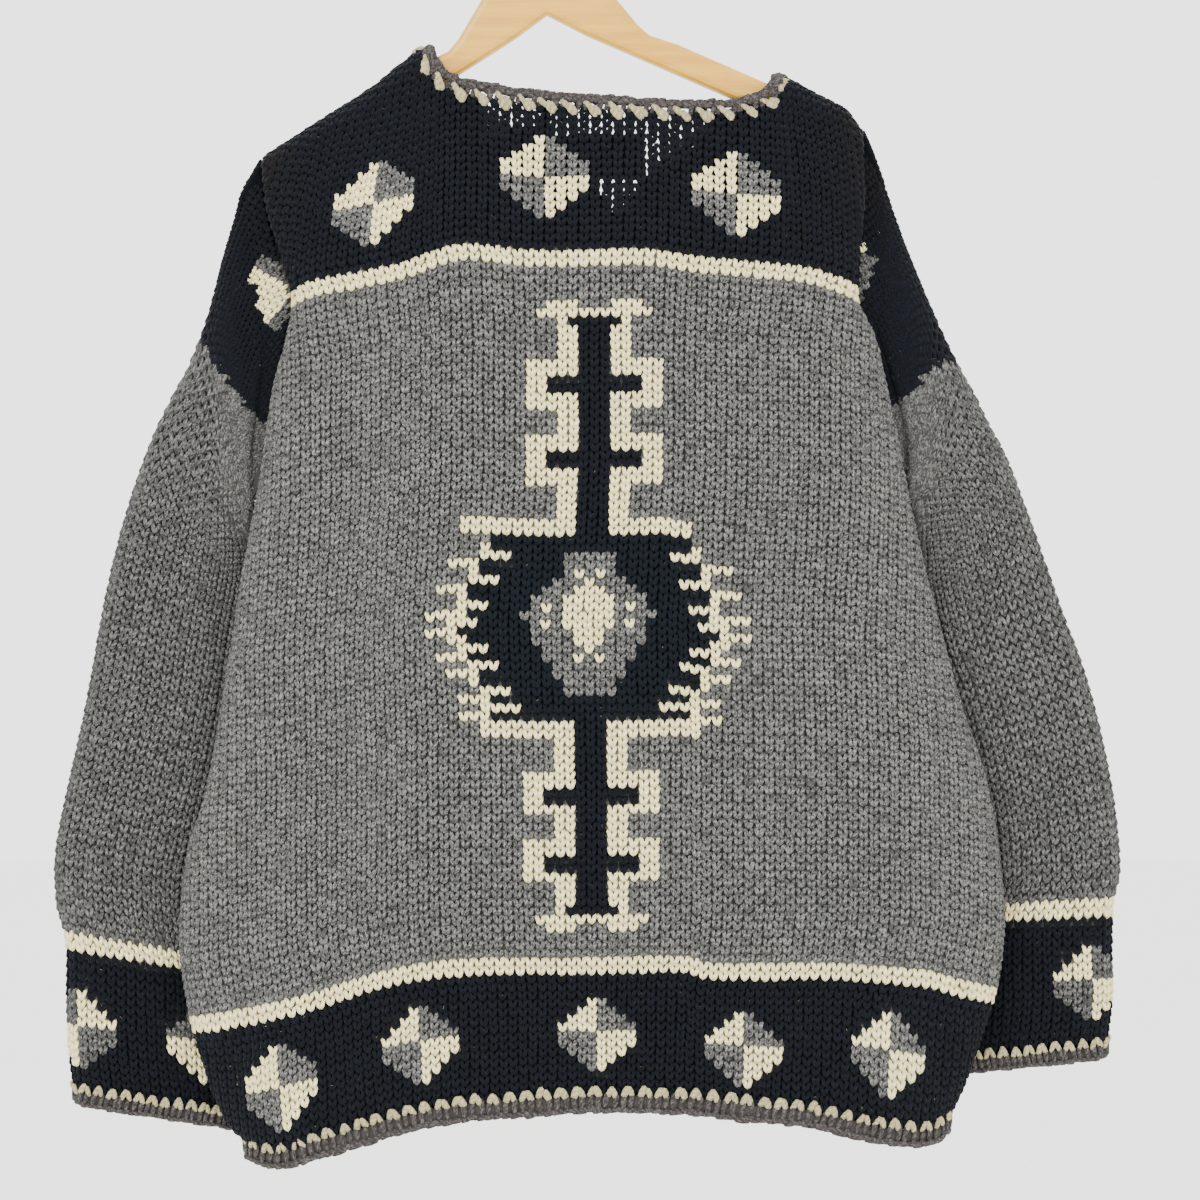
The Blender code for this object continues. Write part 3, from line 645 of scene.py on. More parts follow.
def shoulder_line(x, left):
    """Ridge of the cloth over an arm, which drops off beyond the arm's end."""
    corner, tip = (BACK_NECK[0], LEFT_EDGE[0]) if left else (BACK_NECK[-1], RIGHT_EDGE[0])
    drop_from = ARM_ENDS[0] if left else ARM_ENDS[1]
    over_arm = arm_top(x) + RIDGE_CLEARANCE + WALL
    end = (x - place_x(drop_from)) / (place_x(tip[0]) - place_x(drop_from))
    tip_fall = arm_top(place_x(tip[0])) + RIDGE_CLEARANCE + WALL - place_z(tip[1])
    from_neck = np.abs(x - place_x(corner[0]))
    lift = NECK_LIFT_LEFT if left else NECK_LIFT_RIGHT
    return over_arm - tip_fall * ease(end) ** 1.5 + lift * ease(1 - from_neck / NECK_LIFT_REACH)


def top_height(share, x, neck_line):
    """The upper edge of a panel: a shoulder ridge on each side and a neck line between."""
    left = shoulder_line(x, True)
    right = shoulder_line(x, False)
    points = np.array(neck_line, float)
    knots = place_x(points[:, 0])
    heights = place_z(points[:, 1])
    heights[0] = shoulder_line(knots[0], True)
    heights[-1] = shoulder_line(knots[-1], False)
    neck = smooth(knots, heights, x)
    return np.where(share <= NECK_LEFT + 1e-9, left, np.where(share >= NECK_RIGHT - 1e-9, right, neck))


def neck_share(share):
    """0 on the shoulder ridges and 1 inside the neck."""
    inside = np.minimum(share - NECK_LEFT, NECK_RIGHT - share)
    return np.sqrt(1 - (1 - np.clip(inside / NECK_TURN, 0, 1)) ** 2)


def guide_row(row, share, neck_line):
    """The ends in X and the heights of points at one row of a panel, by their share across."""
    table = (None, YOKE_STRIPE, LOW_STRIPE, HEM)
    low = min(int(row), 2)
    part = row - low

    def heights(number):
        ends = (LEFT_EDGE[0], RIGHT_EDGE[0]) if number == 0 else (table[number][0], table[number][-1])
        first, last = place_x((ends[0][0], ends[1][0]))
        x = first + (last - first) * share
        return top_height(share, x, neck_line) if number == 0 else on_line(table[number], x)

    z = heights(low) * (1 - part) + heights(low + 1) * part
    ends_x = []
    for side, edge in ((0, LEFT_EDGE), (-1, RIGHT_EDGE)):
        upper = edge[0] if low == 0 else table[low][side]
        lower = table[low + 1][side]
        ends_x.append(edge_x(edge, place_z(upper[1] * (1 - part) + lower[1] * part)))
    return ends_x[0], ends_x[1], z


def depth_values(row):
    table = np.array(DEPTHS, float)
    return [float(smooth(table[:, 0], table[:, n], row)) * MM for n in range(1, 5)]


def fold_height(side, x, row):
    """How far the folds stand out from a panel, outwards being positive."""
    total = np.zeros_like(x)
    for fold_side, across, top, bottom, width, height in FOLDS:
        if fold_side != side:
            continue
        along = ease((row - top) / 0.5) * ease((bottom - row) / 0.5)
        drift = place_x(across) + 0.010 * math.sin(2.1 * row + 0.02 * across)
        total += height * MM * along * np.exp(-(((x - drift) / (width * MM)) ** 2))
    return total


def panel_row(side, row, share, inset):
    """One row of a panel, inset from its outer face, for side -1, the back, or 1, the front."""
    neck_line = BACK_NECK if side < 0 else FRONT_NECK
    left, right, z = guide_row(row, share, neck_line)
    back_depth, front_depth, back_edge, front_edge = depth_values(row)
    if row >= UNDERARM_ROW:
        front_edge = back_edge
    depth, edge = (back_depth, -back_edge) if side < 0 else (front_depth, front_edge)
    armhole = ease(row / 0.5) * ease((UNDERARM_ROW - row) / 0.4) if side > 0 else 0.0
    roll = SEAM_ROLL * ease(row / 0.3)
    power = SECTION_POWER + SHOULDER_POWER * (1 - ease(row / 0.8))
    round_off = np.power(np.clip(1 - np.abs(2 * share - 1) ** power, 0, 1), 1 / power)
    below = guide_row(0.0, share, neck_line)[2] - z
    neck = neck_share(share)
    crest = np.clip(1 - below / RIDGE_ROUND, 0, 1)
    turned_in = roll * (1 - round_off) ** 2 + armhole * ARMHOLE_INSET * (1 - round_off) ** 0.5
    turned_in = turned_in + inset * (1 - crest * (1 - neck))
    x = (left + right) / 2 + ((right - left) / 2 - turned_in) * (2 * share - 1)
    rounded = np.power(1 - crest ** 2.4, 1 / 2.4)
    rounded = rounded + (1 - rounded) * neck
    z = z - inset * crest * (1 - neck)
    stand = edge + (depth - inset - edge) * round_off
    stand = stand + fold_height(side, x, row) * round_off
    return np.stack([x, side * (stand * rounded + SEAM_GAP / 2), z], axis=1)


def panel(side, rows, shares, inset=0.0):
    return np.array([panel_row(side, row, shares, inset) for row in rows])


def section_points(half_width, half_depth, shares):
    """Places on half a flattened oval, by their share of its length from end to end."""
    turn = np.linspace(0, math.pi, 181)
    wide = half_width * np.sign(np.cos(turn)) * np.abs(np.cos(turn)) ** (2 / SLEEVE_POWER)
    deep = half_depth * np.abs(np.sin(turn)) ** (2 / SLEEVE_POWER)
    run = np.concatenate([[0], np.cumsum(np.hypot(np.diff(wide), np.diff(deep)))])
    at = np.asarray(shares) * run[-1]
    return np.interp(at, run, wide), np.interp(at, run, deep)


def armhole_loop(back, front, end):
    """Edge points round an armhole: down the back panel and up the front."""
    down = back[:, end].copy()
    up = front[::-1, end].copy()
    clear = np.clip((up[::-1, 1] - down[:, 1]) / 3, 0, SEAM_GAP)
    down[:, 1] += clear
    up[:, 1] -= clear[::-1]
    down[0, 1] = up[-1, 1] = 0.0
    down[-1, 1] = up[0, 1] = (back[-1, end, 1] + front[-1, end, 1]) / 2
    return np.concatenate([down, up[1:-1]])


def sleeve_rings(stations, end):
    """Rings of a sleeve from the armhole to the cuff, from the outer end down the back and up the front."""
    shares = np.array((0.0, 0.5, 1.0))
    loop = armhole_loop(panel(-1, ARMHOLE_ROWS, shares), panel(1, ARMHOLE_ROWS, shares), end)
    table = np.array(stations, float)
    half_count = len(loop) // 2
    knots = np.linspace(1 / len(table), 1, len(table))
    rings = [loop]
    down_side = loop[: half_count + 1]
    run = np.concatenate([[0], np.cumsum(np.linalg.norm(np.diff(down_side, axis=0), axis=1))])
    loop_share = run / run[-1]
    even_share = 0.5 - 0.5 * np.cos(math.pi * np.arange(half_count + 1) / half_count)
    loop_middle = (loop[0] + loop[half_count]) / 2
    for number in range(1, SLEEVE_RINGS + 1):
        t = number / SLEEVE_RINGS
        t = max(t, knots[0]) if number > 1 else (t + knots[0]) / 2
        v = [float(smooth(knots, table[:, n], t)) for n in range(7)]
        outer = np.array([place_x(v[0]), v[4] * MM, place_z(v[1])])
        inner = np.array([place_x(v[2]), v[5] * MM, place_z(v[3])])
        middle = (outer + inner) / 2
        half_width = np.linalg.norm(outer - inner) / 2
        wide = unit(outer - inner)
        face = np.array([0.0, -1.0, 0.0])
        face = unit(face - wide * face.dot(wide))
        mix = float(ease(t / SLEEVE_BLEND))
        w, d = section_points(half_width, v[6] * MM / 2, loop_share * (1 - mix) + even_share * mix)
        back_side = middle + w[:, None] * wide + d[:, None] * face
        front_side = middle + w[:, None] * wide - d[:, None] * face
        ring = np.concatenate([back_side, front_side[half_count - 1:0:-1]])
        rings.append((loop + middle - loop_middle) * (1 - mix) + ring * mix)
    return np.array(rings)


def refined(points, times, closed=False):
    """A smooth curve through the points of the first axis, with that many places between each two."""
    if closed:
        padded = np.concatenate([points[-1:], points, points[:2]])
    else:
        padded = np.concatenate([2 * points[:1] - points[1:2], points, 2 * points[-1:] - points[-2:-1]])
    made = []
    for n in range(len(padded) - 3):
        a, b, c, d = padded[n:n + 4]
        for t in np.arange(times) / times:
            made.append(0.5 * (2 * b + (c - a) * t + (2 * a - 5 * b + 4 * c - d) * t * t
                               + (3 * b - a - 3 * c + d) * t ** 3))
    if not closed:
        made.append(points[-1])
    return np.array(made)


def sleeve_surface(stations, end, along, around):
    """The sleeve as rows from armhole to cuff, unrolled from its inner end over the outer one."""
    rings = refined(sleeve_rings(stations, end), along)
    rings = refined(np.swapaxes(rings, 0, 1), around, closed=True)
    turned = np.roll(rings, len(rings) // 2, axis=0)
    surface = np.swapaxes(np.concatenate([turned, turned[:1]]), 0, 1)
    return creased(surface, surface_normals(surface, surface - surface.mean(axis=1)[:, None]))


def creased(surface, normals):
    """A sleeve's surface with its creases, which fade out before its ends and its sides."""
    x, z = surface[:, :, 0], surface[:, :, 2]
    height = np.zeros_like(x)
    for side, across, down, lean, length, width, rise in SLEEVE_CREASES:
        dx, dz = x - place_x(across), z - place_z(down)
        c, s = math.cos(math.radians(lean)), math.sin(math.radians(lean))
        along, off = (dx * c - dz * s) / (length * MM), (dx * s + dz * c) / (width * MM)
        facing = np.clip(normals[:, :, 1] * side, 0, 1)
        height += rise * MM * facing * np.exp(-along ** 2 - (off + 0.25 * np.sin(3 * along)) ** 2)
    share = np.linspace(0, 1, len(surface))[:, None]
    surface = surface + normals * (height * ease(share / 0.08) * ease((1 - share) / 0.08))[:, :, None]
    for across, down, reach, push in UNDERARMS:
        near = np.hypot(surface[:, :, 0] - place_x(across), surface[:, :, 2] - place_z(down)) / (reach * MM)
        surface[:, :, 0] += push * MM * np.exp(-near ** 2)
    return surface


def surface_normals(surface, towards):
    """Unit normals of a grid of points that point the way towards says."""
    normals = unit(np.cross(np.gradient(surface, axis=1), np.gradient(surface, axis=0)))
    return normals if (normals * towards).sum() > 0 else -normals


def run_along(points):
    steps = np.linalg.norm(np.diff(points, axis=0), axis=1)
    return np.concatenate([[0], np.cumsum(steps)])


class Cloth:
    """A knitted panel or tube: its surface, its columns' middle and width, and its rows' numbers."""

    def __init__(self, surface, normals, middle, widths, courses, edged):
        self.surface = surface
        self.normals = normals
        self.middle = middle
        self.widths = widths
        self.courses = courses
        self.edged = edged

    def columns(self):
        """Each column as places, normals, column number and row numbers, cut off at the edges."""
        rows = len(self.surface)
        runs = [run_along(points) for points in self.surface]
        longest = max(run[-1] / width for run, width in zip(runs, self.widths))
        numbers = list(range(-int(longest), int(longest) + 1))
        ends = ("first", "last") if self.edged else ()
        margin = 1.02 if self.edged else 0.0
        for number in [*numbers, *ends]:
            places = np.full((rows, 3), np.nan)
            normals = np.zeros((rows, 3))
            counted = np.zeros(rows)
            for r in range(rows):
                run, width = runs[r], self.widths[r]
                if number == "first":
                    at = 0.5 * width
                elif number == "last":
                    at = run[-1] - 0.5 * width
                else:
                    at = self.middle[r] + number * width
                    if not margin * width <= at <= run[-1] - margin * width:
                        continue
                places[r] = blended(at, run, self.surface[r])
                normals[r] = blended(at, run, self.normals[r])
                counted[r] = (at - self.middle[r]) / width
            yield places, normals, counted, self.courses(places)

    def lengthened(self, places, normals, counted, courses):
        """The same column with up to one row more above its upper end, under the neck's edging."""
        step = unit(places[0] - places[2]) * COURSE * EXTRA_ROW
        added = (places[:1] + step, normals[:1], counted[:1], courses[:1] - EXTRA_ROW)
        return [np.concatenate(pair) for pair in zip(added, (places, normals, counted, courses))]

    def stitches(self):
        """Every stitch: place, up, normal, width, height, column number and row number."""
        found = []
        for places, normals, counted, courses in self.columns():
            good = ~np.isnan(places[:, 0])
            if good.sum() < 3:
                continue
            start, end = place_x(LENGTHENED)
            if self.edged and good[0] and start < places[0, 0] < end:
                places, normals, counted, courses = self.lengthened(places, normals, counted, courses)
                good = np.concatenate([[True], good])
            widths = np.concatenate([self.widths[:1]] * (len(good) - len(self.widths)) + [self.widths])
            first = math.ceil(np.nanmin(np.where(good, courses, np.nan)))
            last = math.floor(np.nanmax(np.where(good, courses, np.nan)))
            levels = np.arange(first, last)
            if not len(levels):
                continue
            held = np.interp(levels + 0.5, courses, good.astype(float)) > 0.999
            whole = np.where(good[:, None], places, 0.0)
            top, centre, bottom = (blended(levels + part, courses, whole) for part in (0.0, 0.5, 1.0))
            turn = unit(blended(levels + 0.5, courses, normals))
            column = np.interp(levels + 0.5, courses, counted)
            width = np.interp(levels + 0.5, courses, widths)
            height = np.linalg.norm(top - bottom, axis=1)
            held &= np.interp(levels + 0.05, courses, good.astype(float)) > 0.5
            held &= (height > STITCH_HEIGHTS[0]) & (height < STITCH_HEIGHTS[1])
            rows = np.concatenate([
                centre, unit(top - bottom), turn, width[:, None], height[:, None],
                column[:, None], levels[:, None]], axis=1)
            found.append(rows[held])
        return np.concatenate(found)


def stitch_widths(rows):
    table = np.array(STITCH_WIDTHS)
    return np.interp(rows, table[:, 0], table[:, 1]) * GRID


def middle_x(z):
    """Place of the middle column at a height."""
    line = np.array(MIDDLE_COLUMN, float)
    return np.interp(-z, -place_z(line[:, 0]), place_x(line[:, 1]))


def counted_rows(rows):
    """Knitted rows below the yoke stripe, from the guide's rows."""
    low = BODY_COURSES + (rows - 2) * HEM_COURSES
    return np.where(rows <= 2, (rows - 1) * BODY_COURSES, low)


def panel_cloth(side):
    """A panel as cloth. Above the yoke stripe its rows are counted by their real distance from it."""
    rows = np.concatenate([np.linspace(0, 1, 90) ** 1.4, np.linspace(1, 2, 170)[1:],
                           np.linspace(2, 3, 40)[1:]])
    shares = np.unique(np.concatenate([np.linspace(0, 1, 200), (NECK_LEFT, NECK_RIGHT)]))
    surface = panel(side, rows, shares)
    middle = []
    for points in surface:
        x = middle_x(points[len(points) // 2, 2])
        middle.append(np.interp(x, points[:, 0], run_along(points)))
    stripe = int(np.argmin(np.abs(rows - 1)))

    def courses(places):
        counted = counted_rows(rows)
        steps = np.nan_to_num(np.linalg.norm(np.diff(places, axis=0), axis=1), nan=0.5 * MM)
        above = -np.concatenate([np.cumsum(steps[:stripe][::-1])[::-1], [0]]) / COURSE
        counted[:stripe + 1] = above
        return counted

    normals = surface_normals(surface, (0, side, 0))
    return Cloth(surface, normals, np.array(middle), stitch_widths(rows), courses, True)


def sleeve_rows(surface, sleeve):
    """Row numbers of a sleeve's grid, which follow its rings, counted from the cuff's stripe."""
    run = run_along(surface[:, surface.shape[1] // 4])
    return run / run[-1] * sleeve["rows"] - (sleeve["rows"] - sleeve["cuff_rows"])


def sleeve_cloth(sleeve):
    surface = sleeve_surface(sleeve["stations"], sleeve["end"], 12, 5)
    towards = surface - surface.mean(axis=1)[:, None]
    widths = np.full(len(surface), SLEEVE_STITCH)
    middle = np.array([run_along(points)[len(points) // 2] for points in surface])
    rows = sleeve_rows(surface, sleeve)
    return Cloth(surface, surface_normals(surface, towards), middle, widths, lambda places: rows, False)


def diamond(column, row, mirrored=False):
    """A quartered diamond on the places about its middle: cream and grey quarters, and -1 outside."""
    inside = np.abs(column + 0.5) < np.minimum(4, 5.1 - np.abs(row))
    light = ((column < 0) == (row < 0)) != mirrored
    return np.where(inside, np.where(light, CREAM, GREY), -1)


def with_diamonds(yarn, column, row, diamonds):
    for middle, middle_row in diamonds:
        near = diamond(column - middle, row - middle_row)
        yarn = np.where(near >= 0, near, yarn)
    return yarn


def stepped(row, table, before=-1.0):
    """The value of the last step that a row has reached."""
    value = np.full(row.shape, before)
    for first, step in table:
        value[row >= first] = step
    return value


def spine(out, row, yarn):
    """A barred spine with its light blocks, capped at both ends."""
    shaft = (row >= 7) & (row <= 77)
    yarn[shaft & (out <= 3.5)] = CREAM
    for first, last in BLOCKS:
        yarn[(row >= first) & (row <= last) & (out <= 6.5)] = CREAM
    yarn[((row == 6) | (row == 78)) & (out <= 5.5)] = CREAM
    yarn[((row == 5) | (row == 79)) & (out > 1.5) & (out <= 4.5)] = CREAM
    yarn[shaft & (out <= 1.5)] = NAVY
    yarn[((row == 7) | (row == 77)) & (out <= 2.5)] = NAVY
    for first, last in BLOCKS:
        yarn[(row >= first + 2) & (row <= first + 3) & (out <= 4.5)] = NAVY


def medallion(column, row, yarn):
    """A toothed medallion round a rosette. Its upper bar reaches farther to the left."""
    out = np.abs(column)
    away = np.abs(row - MEDALLION_MIDDLE)
    inner_tooth = np.isin(row, TEETH)
    outer_tooth = np.isin(row - 1, TEETH)
    light = 15.9 - 0.35 * away - np.where(outer_tooth, 0.0, 2.3)
    dark = np.where(inner_tooth, 10.2 - 0.34 * away, 12.3 - 0.28 * away)
    body = (row >= 33) & (row <= 54)
    yarn[((row == 31) | (row == 32)) & (column >= -12.5) & (column <= 9.5)] = CREAM
    yarn[((row == 55) | (row == 56)) & (out <= 10.5)] = CREAM
    yarn[body & (out <= light)] = CREAM
    yarn[body & (out <= dark)] = NAVY
    yarn[((row == 31) | (row == 32) | (row == 55) | (row == 56)) & (out <= 1.5)] = NAVY
    yarn[(row < 52) & (out <= stepped(row, ROSETTE))] = GREY
    yarn[(row < 47) & (out <= stepped(row, HEART))] = CREAM
    yarn[((row == 37) | (row == 47)) & (out == 1)] = CREAM
    yarn[((row == 41) | (row == 43)) & (out == 4)] = CREAM


def body_chart(column, row, motif, yoke_diamonds):
    """Yarn of each stitch of a panel by its column and row."""
    column = np.round(column)
    yarn = np.full(column.shape, GREY)
    if motif:
        spine(np.abs(column), row, yarn)
        medallion(column, row, yarn)
    yarn[row < 1] = CREAM
    yarn[row < -1] = NAVY
    yarn[row >= BODY_COURSES - 2] = CREAM
    yarn[row >= BODY_COURSES] = NAVY
    yarn = with_diamonds(yarn, column, row, yoke_diamonds)
    return with_diamonds(yarn, column, row, HEM_DIAMONDS)


def back_chart(column, row, places):
    return body_chart(column, row, True, YOKE_DIAMONDS)


def front_chart(column, row, places):
    return body_chart(column, row, False, FRONT_YOKE_DIAMONDS)


def repeated(column, spacing):
    """Column numbers counted from the nearest of motifs that repeat round a tube."""
    return np.round((column + spacing / 2) % spacing - spacing / 2)


def sleeve_chart(column, row, places, sleeve):
    """Yarn of each stitch of a sleeve: navy above a slanting line and below the cuff's stripe."""
    yarn = np.full(column.shape, GREY)
    points = np.array(sleeve["line"], float)
    above = places[:, 2] > np.interp(places[:, 0], place_x(points[:, 0]), place_z(points[:, 1]))
    yarn[above & (row < -20)] = NAVY
    yarn[(row >= -1) & (row <= 0)] = CREAM
    yarn[row > 0] = NAVY
    (across, down), spacing, mirrored = sleeve["cuff_diamond"]
    anchor = (place_x(across), -3 * MM, place_z(down))
    nearest = int(np.argmin(np.linalg.norm(places - anchor, axis=1)))
    near = diamond(repeated(column - column[nearest], spacing), row - row[nearest], mirrored)
    yarn = np.where((row > 0) & (near >= 0), near, yarn)
    across, down, slope = sleeve["cap_diamond"]
    c, s = math.cos(math.radians(slope)), math.sin(math.radians(slope))
    right, below = places[:, 0] - place_x(across), place_z(down) - places[:, 2]
    near = diamond(np.floor((right * c + below * s) / SLEEVE_STITCH),
                   np.floor((below * c - right * s) / COURSE) + 0.5, True)
    return np.where(above & (row < -20) & (near >= 0), near, yarn)


def euler_turns(across, up, normal):
    """XYZ angles that turn a stitch's own axes to these."""
    roll = np.arctan2(up[:, 2], normal[:, 2])
    pitch = np.arcsin(np.clip(-across[:, 2], -1, 1))
    return np.stack([roll, pitch, np.arctan2(across[:, 1], across[:, 0])], axis=1)


def wobble(places, phase):
    """A slow drift of hand-made rows, between -1 and 1."""
    x, y, z = (places / MM).T
    slow = np.sin(x / 11.0 + 1.7 * np.sin(z / 37.0) + phase)
    slow = slow * np.sin(z / 13.0 + 1.3 * np.sin(x / 29.0 + y / 9.0))
    return 0.6 * slow + 0.4 * np.sin(x / 4.7 + z / 6.1 + 2.0 * phase + np.sin(z / 17.0))


def leg_points(stitches, settings, rng):
    """Two legs for each stitch: their places and turns."""
    place, up, normal = stitches[:, 0:3], stitches[:, 3:6], stitches[:, 6:9]
    width = stitches[:, 9:10]
    across = unit(np.cross(up, normal))
    normal = unit(np.cross(across, up))
    for way, drift, phase, spread in ((across, 0.45, 0.4, 0.16), (up, 0.4, 2.9, 0.2)):
        off = drift * MM * wobble(place, phase) + rng.normal(0, spread * MM, len(place))
        place = place + way * off[:, None]
    made = []
    for way in (-1, 1):
        along = up * math.cos(settings.leg_lean) + across * way * math.sin(settings.leg_lean)
        along = unit(along - normal * math.tan(settings.leg_tuck))
        out = squared(normal, along)
        centre = place + across * way * width * LEG_OFFSET - normal * LEG_SINK
        made.append((centre, euler_turns(np.cross(along, out), along, out)))
    return made


def point_cloud(name, places, attributes):
    mesh = bpy.data.meshes.new(name)
    mesh.from_pydata([tuple(p) for p in places], [], [])
    for key, values in attributes.items():
        values = np.asarray(values, np.float32)
        kind = "FLOAT_VECTOR" if values.ndim == 2 else "FLOAT"
        layer = mesh.attributes.new(key, kind, "POINT")
        layer.data.foreach_set("vector" if values.ndim == 2 else "value", values.reshape(-1))
    return shown(name, mesh)


def shown(name, data):
    """A mesh, light or camera as an object of the scene."""
    made = bpy.data.objects.new(name, data)
    bpy.context.scene.collection.objects.link(made)
    return made


def filled(name, shaped):
    """A finished bmesh as an object of the scene."""
    mesh = bpy.data.meshes.new(name)
    shaped.to_mesh(mesh)
    shaped.free()
    return shown(name, mesh)


def spindle(name, sides, levels, bow, sink):
    """One leg of a stitch: a closed spindle, unit long and wide, bowed out with its ends sunk."""
    shaped = bmesh.new()
    uv = shaped.loops.layers.uv.new("UVMap")
    first_turn = 0.75 if sides == 3 else 0.5
    rings = []
    for height, radius in levels:
        lift = bow * (1 - (2 * height) ** 2)
        rings.append([
            shaped.verts.new((0.5 * radius * math.cos(a), height, 0.5 * radius * math.sin(a) + lift))
            for a in (2 * math.pi * (k + first_turn) / sides for k in range(sides))
        ])
    tips = [shaped.verts.new((0, end, -sink)) for end in (-0.5, 0.5)]

    def face(corners, marks):
        made = shaped.faces.new(corners)
        made.smooth = True
        for loop, mark in zip(made.loops, marks):
            loop[uv].uv = mark

    spots = [height + 0.5 for height, radius in levels]
    for k in range(sides):
        n = (k + 1) % sides
        here, there = k / sides, (k + 1) / sides
        face((tips[0], rings[0][n], rings[0][k]), ((here, 0), (there, spots[0]), (here, spots[0])))
        face((tips[1], rings[-1][k], rings[-1][n]), ((here, 1), (here, spots[-1]), (there, spots[-1])))
        for low in range(len(rings) - 1):
            face((rings[low][k], rings[low][n], rings[low + 1][n], rings[low + 1][k]),
                 ((here, spots[low]), (there, spots[low]), (there, spots[low + 1]), (here, spots[low + 1])))
    bmesh.ops.recalc_face_normals(shaped, faces=shaped.faces)
    made = filled(name, shaped)
    made.hide_render = True
    return made


def stitch_tree(name="set_stitches"):
    """Sets one leg on every point, turned and sized by the point's own attributes."""
    tree = bpy.data.node_groups.new(name, "GeometryNodeTree")
    face = tree.interface
    face.new_socket("Geometry", in_out="OUTPUT", socket_type="NodeSocketGeometry")
    for label, kind in (("Points", "Geometry"), ("Leg", "Object"), ("Width", "Float"), ("Length", "Float"),
                        ("Thickness", "Float"), ("Unevenness", "Float"), ("Seed", "Int"),
                        ("Yarn", "Material")):
        face.new_socket(label, in_out="INPUT", socket_type=f"NodeSocket{kind}")
    nodes, links = tree.nodes, tree.links

    def node(kind, settings=None, output=0, **sockets):
        """A node's output, its settings made first and then its sockets filled by name or _number."""
        made = nodes.new(kind)
        for key, value in (settings or {}).items():
            setattr(made, key, value)
        for key, value in sockets.items():
            socket = made.inputs[int(key[1:])] if key[1:].isdigit() else made.inputs[key]
            if isinstance(value, bpy.types.NodeSocket):
                links.new(value, socket)
            else:
                socket.default_value = value
        return made.outputs[output] if made.outputs else None

    def attribute(label):
        return node("GeometryNodeInputNamedAttribute", {"data_type": "FLOAT_VECTOR"}, Name=label)

    given = nodes.new("NodeGroupInput").outputs
    seed = given["Seed"]
    factors = node("ShaderNodeCombineXYZ", X=given["Width"], Y=given["Length"], Z=given["Thickness"])
    scale = node("ShaderNodeVectorMath", {"operation": "MULTIPLY"}, _0=attribute("size"), _1=factors)
    low = node("ShaderNodeMath", {"operation": "MULTIPLY"}, _0=given["Unevenness"], _1=-1.0)
    drawn = {"data_type": "FLOAT"}
    swing = node("FunctionNodeRandomValue", drawn, 1, _2=low, _3=given["Unevenness"], Seed=seed)
    plump = node("FunctionNodeRandomValue", drawn, 1, _2=0.92, _3=1.08, Seed=seed)
    scaled = node("ShaderNodeVectorMath", {"operation": "SCALE"}, _0=scale, Scale=plump)
    leg = node("GeometryNodeObjectInfo", {"transform_space": "ORIGINAL"}, "Geometry", Object=given["Leg"])
    euler = node("FunctionNodeEulerToRotation", _0=attribute("turn"))
    local = node("FunctionNodeEulerToRotation", _0=node("ShaderNodeCombineXYZ", Z=swing))
    both = node("FunctionNodeRotateRotation", {"rotation_space": "LOCAL"}, _0=euler, _1=local)
    cloud = node("GeometryNodeMeshToPoints", Mesh=given["Points"])
    placed = node("GeometryNodeInstanceOnPoints", Points=cloud, Instance=leg, Rotation=both, Scale=scaled)
    real = node("GeometryNodeRealizeInstances", Geometry=placed)
    yarned = node("GeometryNodeSetMaterial", Geometry=real, Material=given["Yarn"])
    node("NodeGroupOutput", Geometry=yarned)
    return tree


def settled(made, modifier):
    """A mesh that has the modifier's work in it. The modifier is removed."""
    graph = bpy.context.evaluated_depsgraph_get()
    mesh = bpy.data.meshes.new_from_object(made.evaluated_get(graph))
    made.modifiers.remove(modifier)
    return mesh


def worked(name, cloud, tree, inputs):
    """The tree's result on a cloud of points as a plain mesh object of that name."""
    modifier = cloud.modifiers.new("stitches", "NODES")
    modifier.node_group = tree
    for item in tree.interface.items_tree:
        if item.item_type == "SOCKET" and item.in_out == "INPUT" and item.name in inputs:
            modifier[item.identifier] = inputs[item.name]
    cloud.update_tag()
    mesh = settled(cloud, modifier)
    old = cloud.data
    bpy.data.objects.remove(cloud)
    bpy.data.meshes.remove(old)
    mesh.name = name
    return shown(name, mesh)


def tools():
    """Leg shapes, the stitch tree and the yarns, made once."""
    if not TOOLS:
        wool = bpy.context.scene.sweater_yarn
        TOOLS["leg"] = spindle("stitch_leg", 4, ((-0.2, 1.0), (0.2, 0.92)), 0.22, 0.30)
        TOOLS["plain_leg"] = spindle("plain_leg", 3, ((-0.2, 0.84), (0.2, 0.78)), 0.22, 0.30)
        TOOLS["hair"] = spindle("hair", 3, ((-0.25, 0.032), (0.0, 0.036), (0.25, 0.032)), 0.22, 0.0)
        TOOLS["cord"] = spindle("edging_cord", 6, ((-0.36, 0.82), (0.0, 1.0), (0.36, 0.82)), 0.12, 0.0)
        TOOLS["tree"] = stitch_tree()
        # Painted shade: a darker copy of the grey for the sleeves.
        painted_shade_sleeve_grey = rgba(wool.grey, wool.sleeve_painted_shade)[:3]
        # Partly painted shade: the cream darkened for the crochet's ecru.
        ecru = rgba(wool.cream, ECRU_TONE_AND_PAINTED_SHADE)[:3]
        TOOLS["yarns"] = {
            "navy": yarn_material("navy_wool", wool.navy, (0.35, 0.8), 0.02, teal=0.5, fade=0.8),
            "grey": yarn_material("heather_wool", wool.grey, (0.6, 1.0), 0.05),
            "painted_shade_sleeve_grey": yarn_material("sleeve_heather_wool_painted_shade", painted_shade_sleeve_grey, (0.6, 1.0), 0.05),
            "cream": yarn_material("cream_wool", wool.cream, (0.14, 0.06), 0.12),
            "ecru": yarn_material("ecru_wool_painted_shade", ecru, (0.24, 0.12), 0.08),
            "edging": yarn_material("edging_wool", wool.edging, (0.55, 0.8), 0.05),
        }
        TOOLS["cloth"] = cloth_material("wrong_side")
    return TOOLS


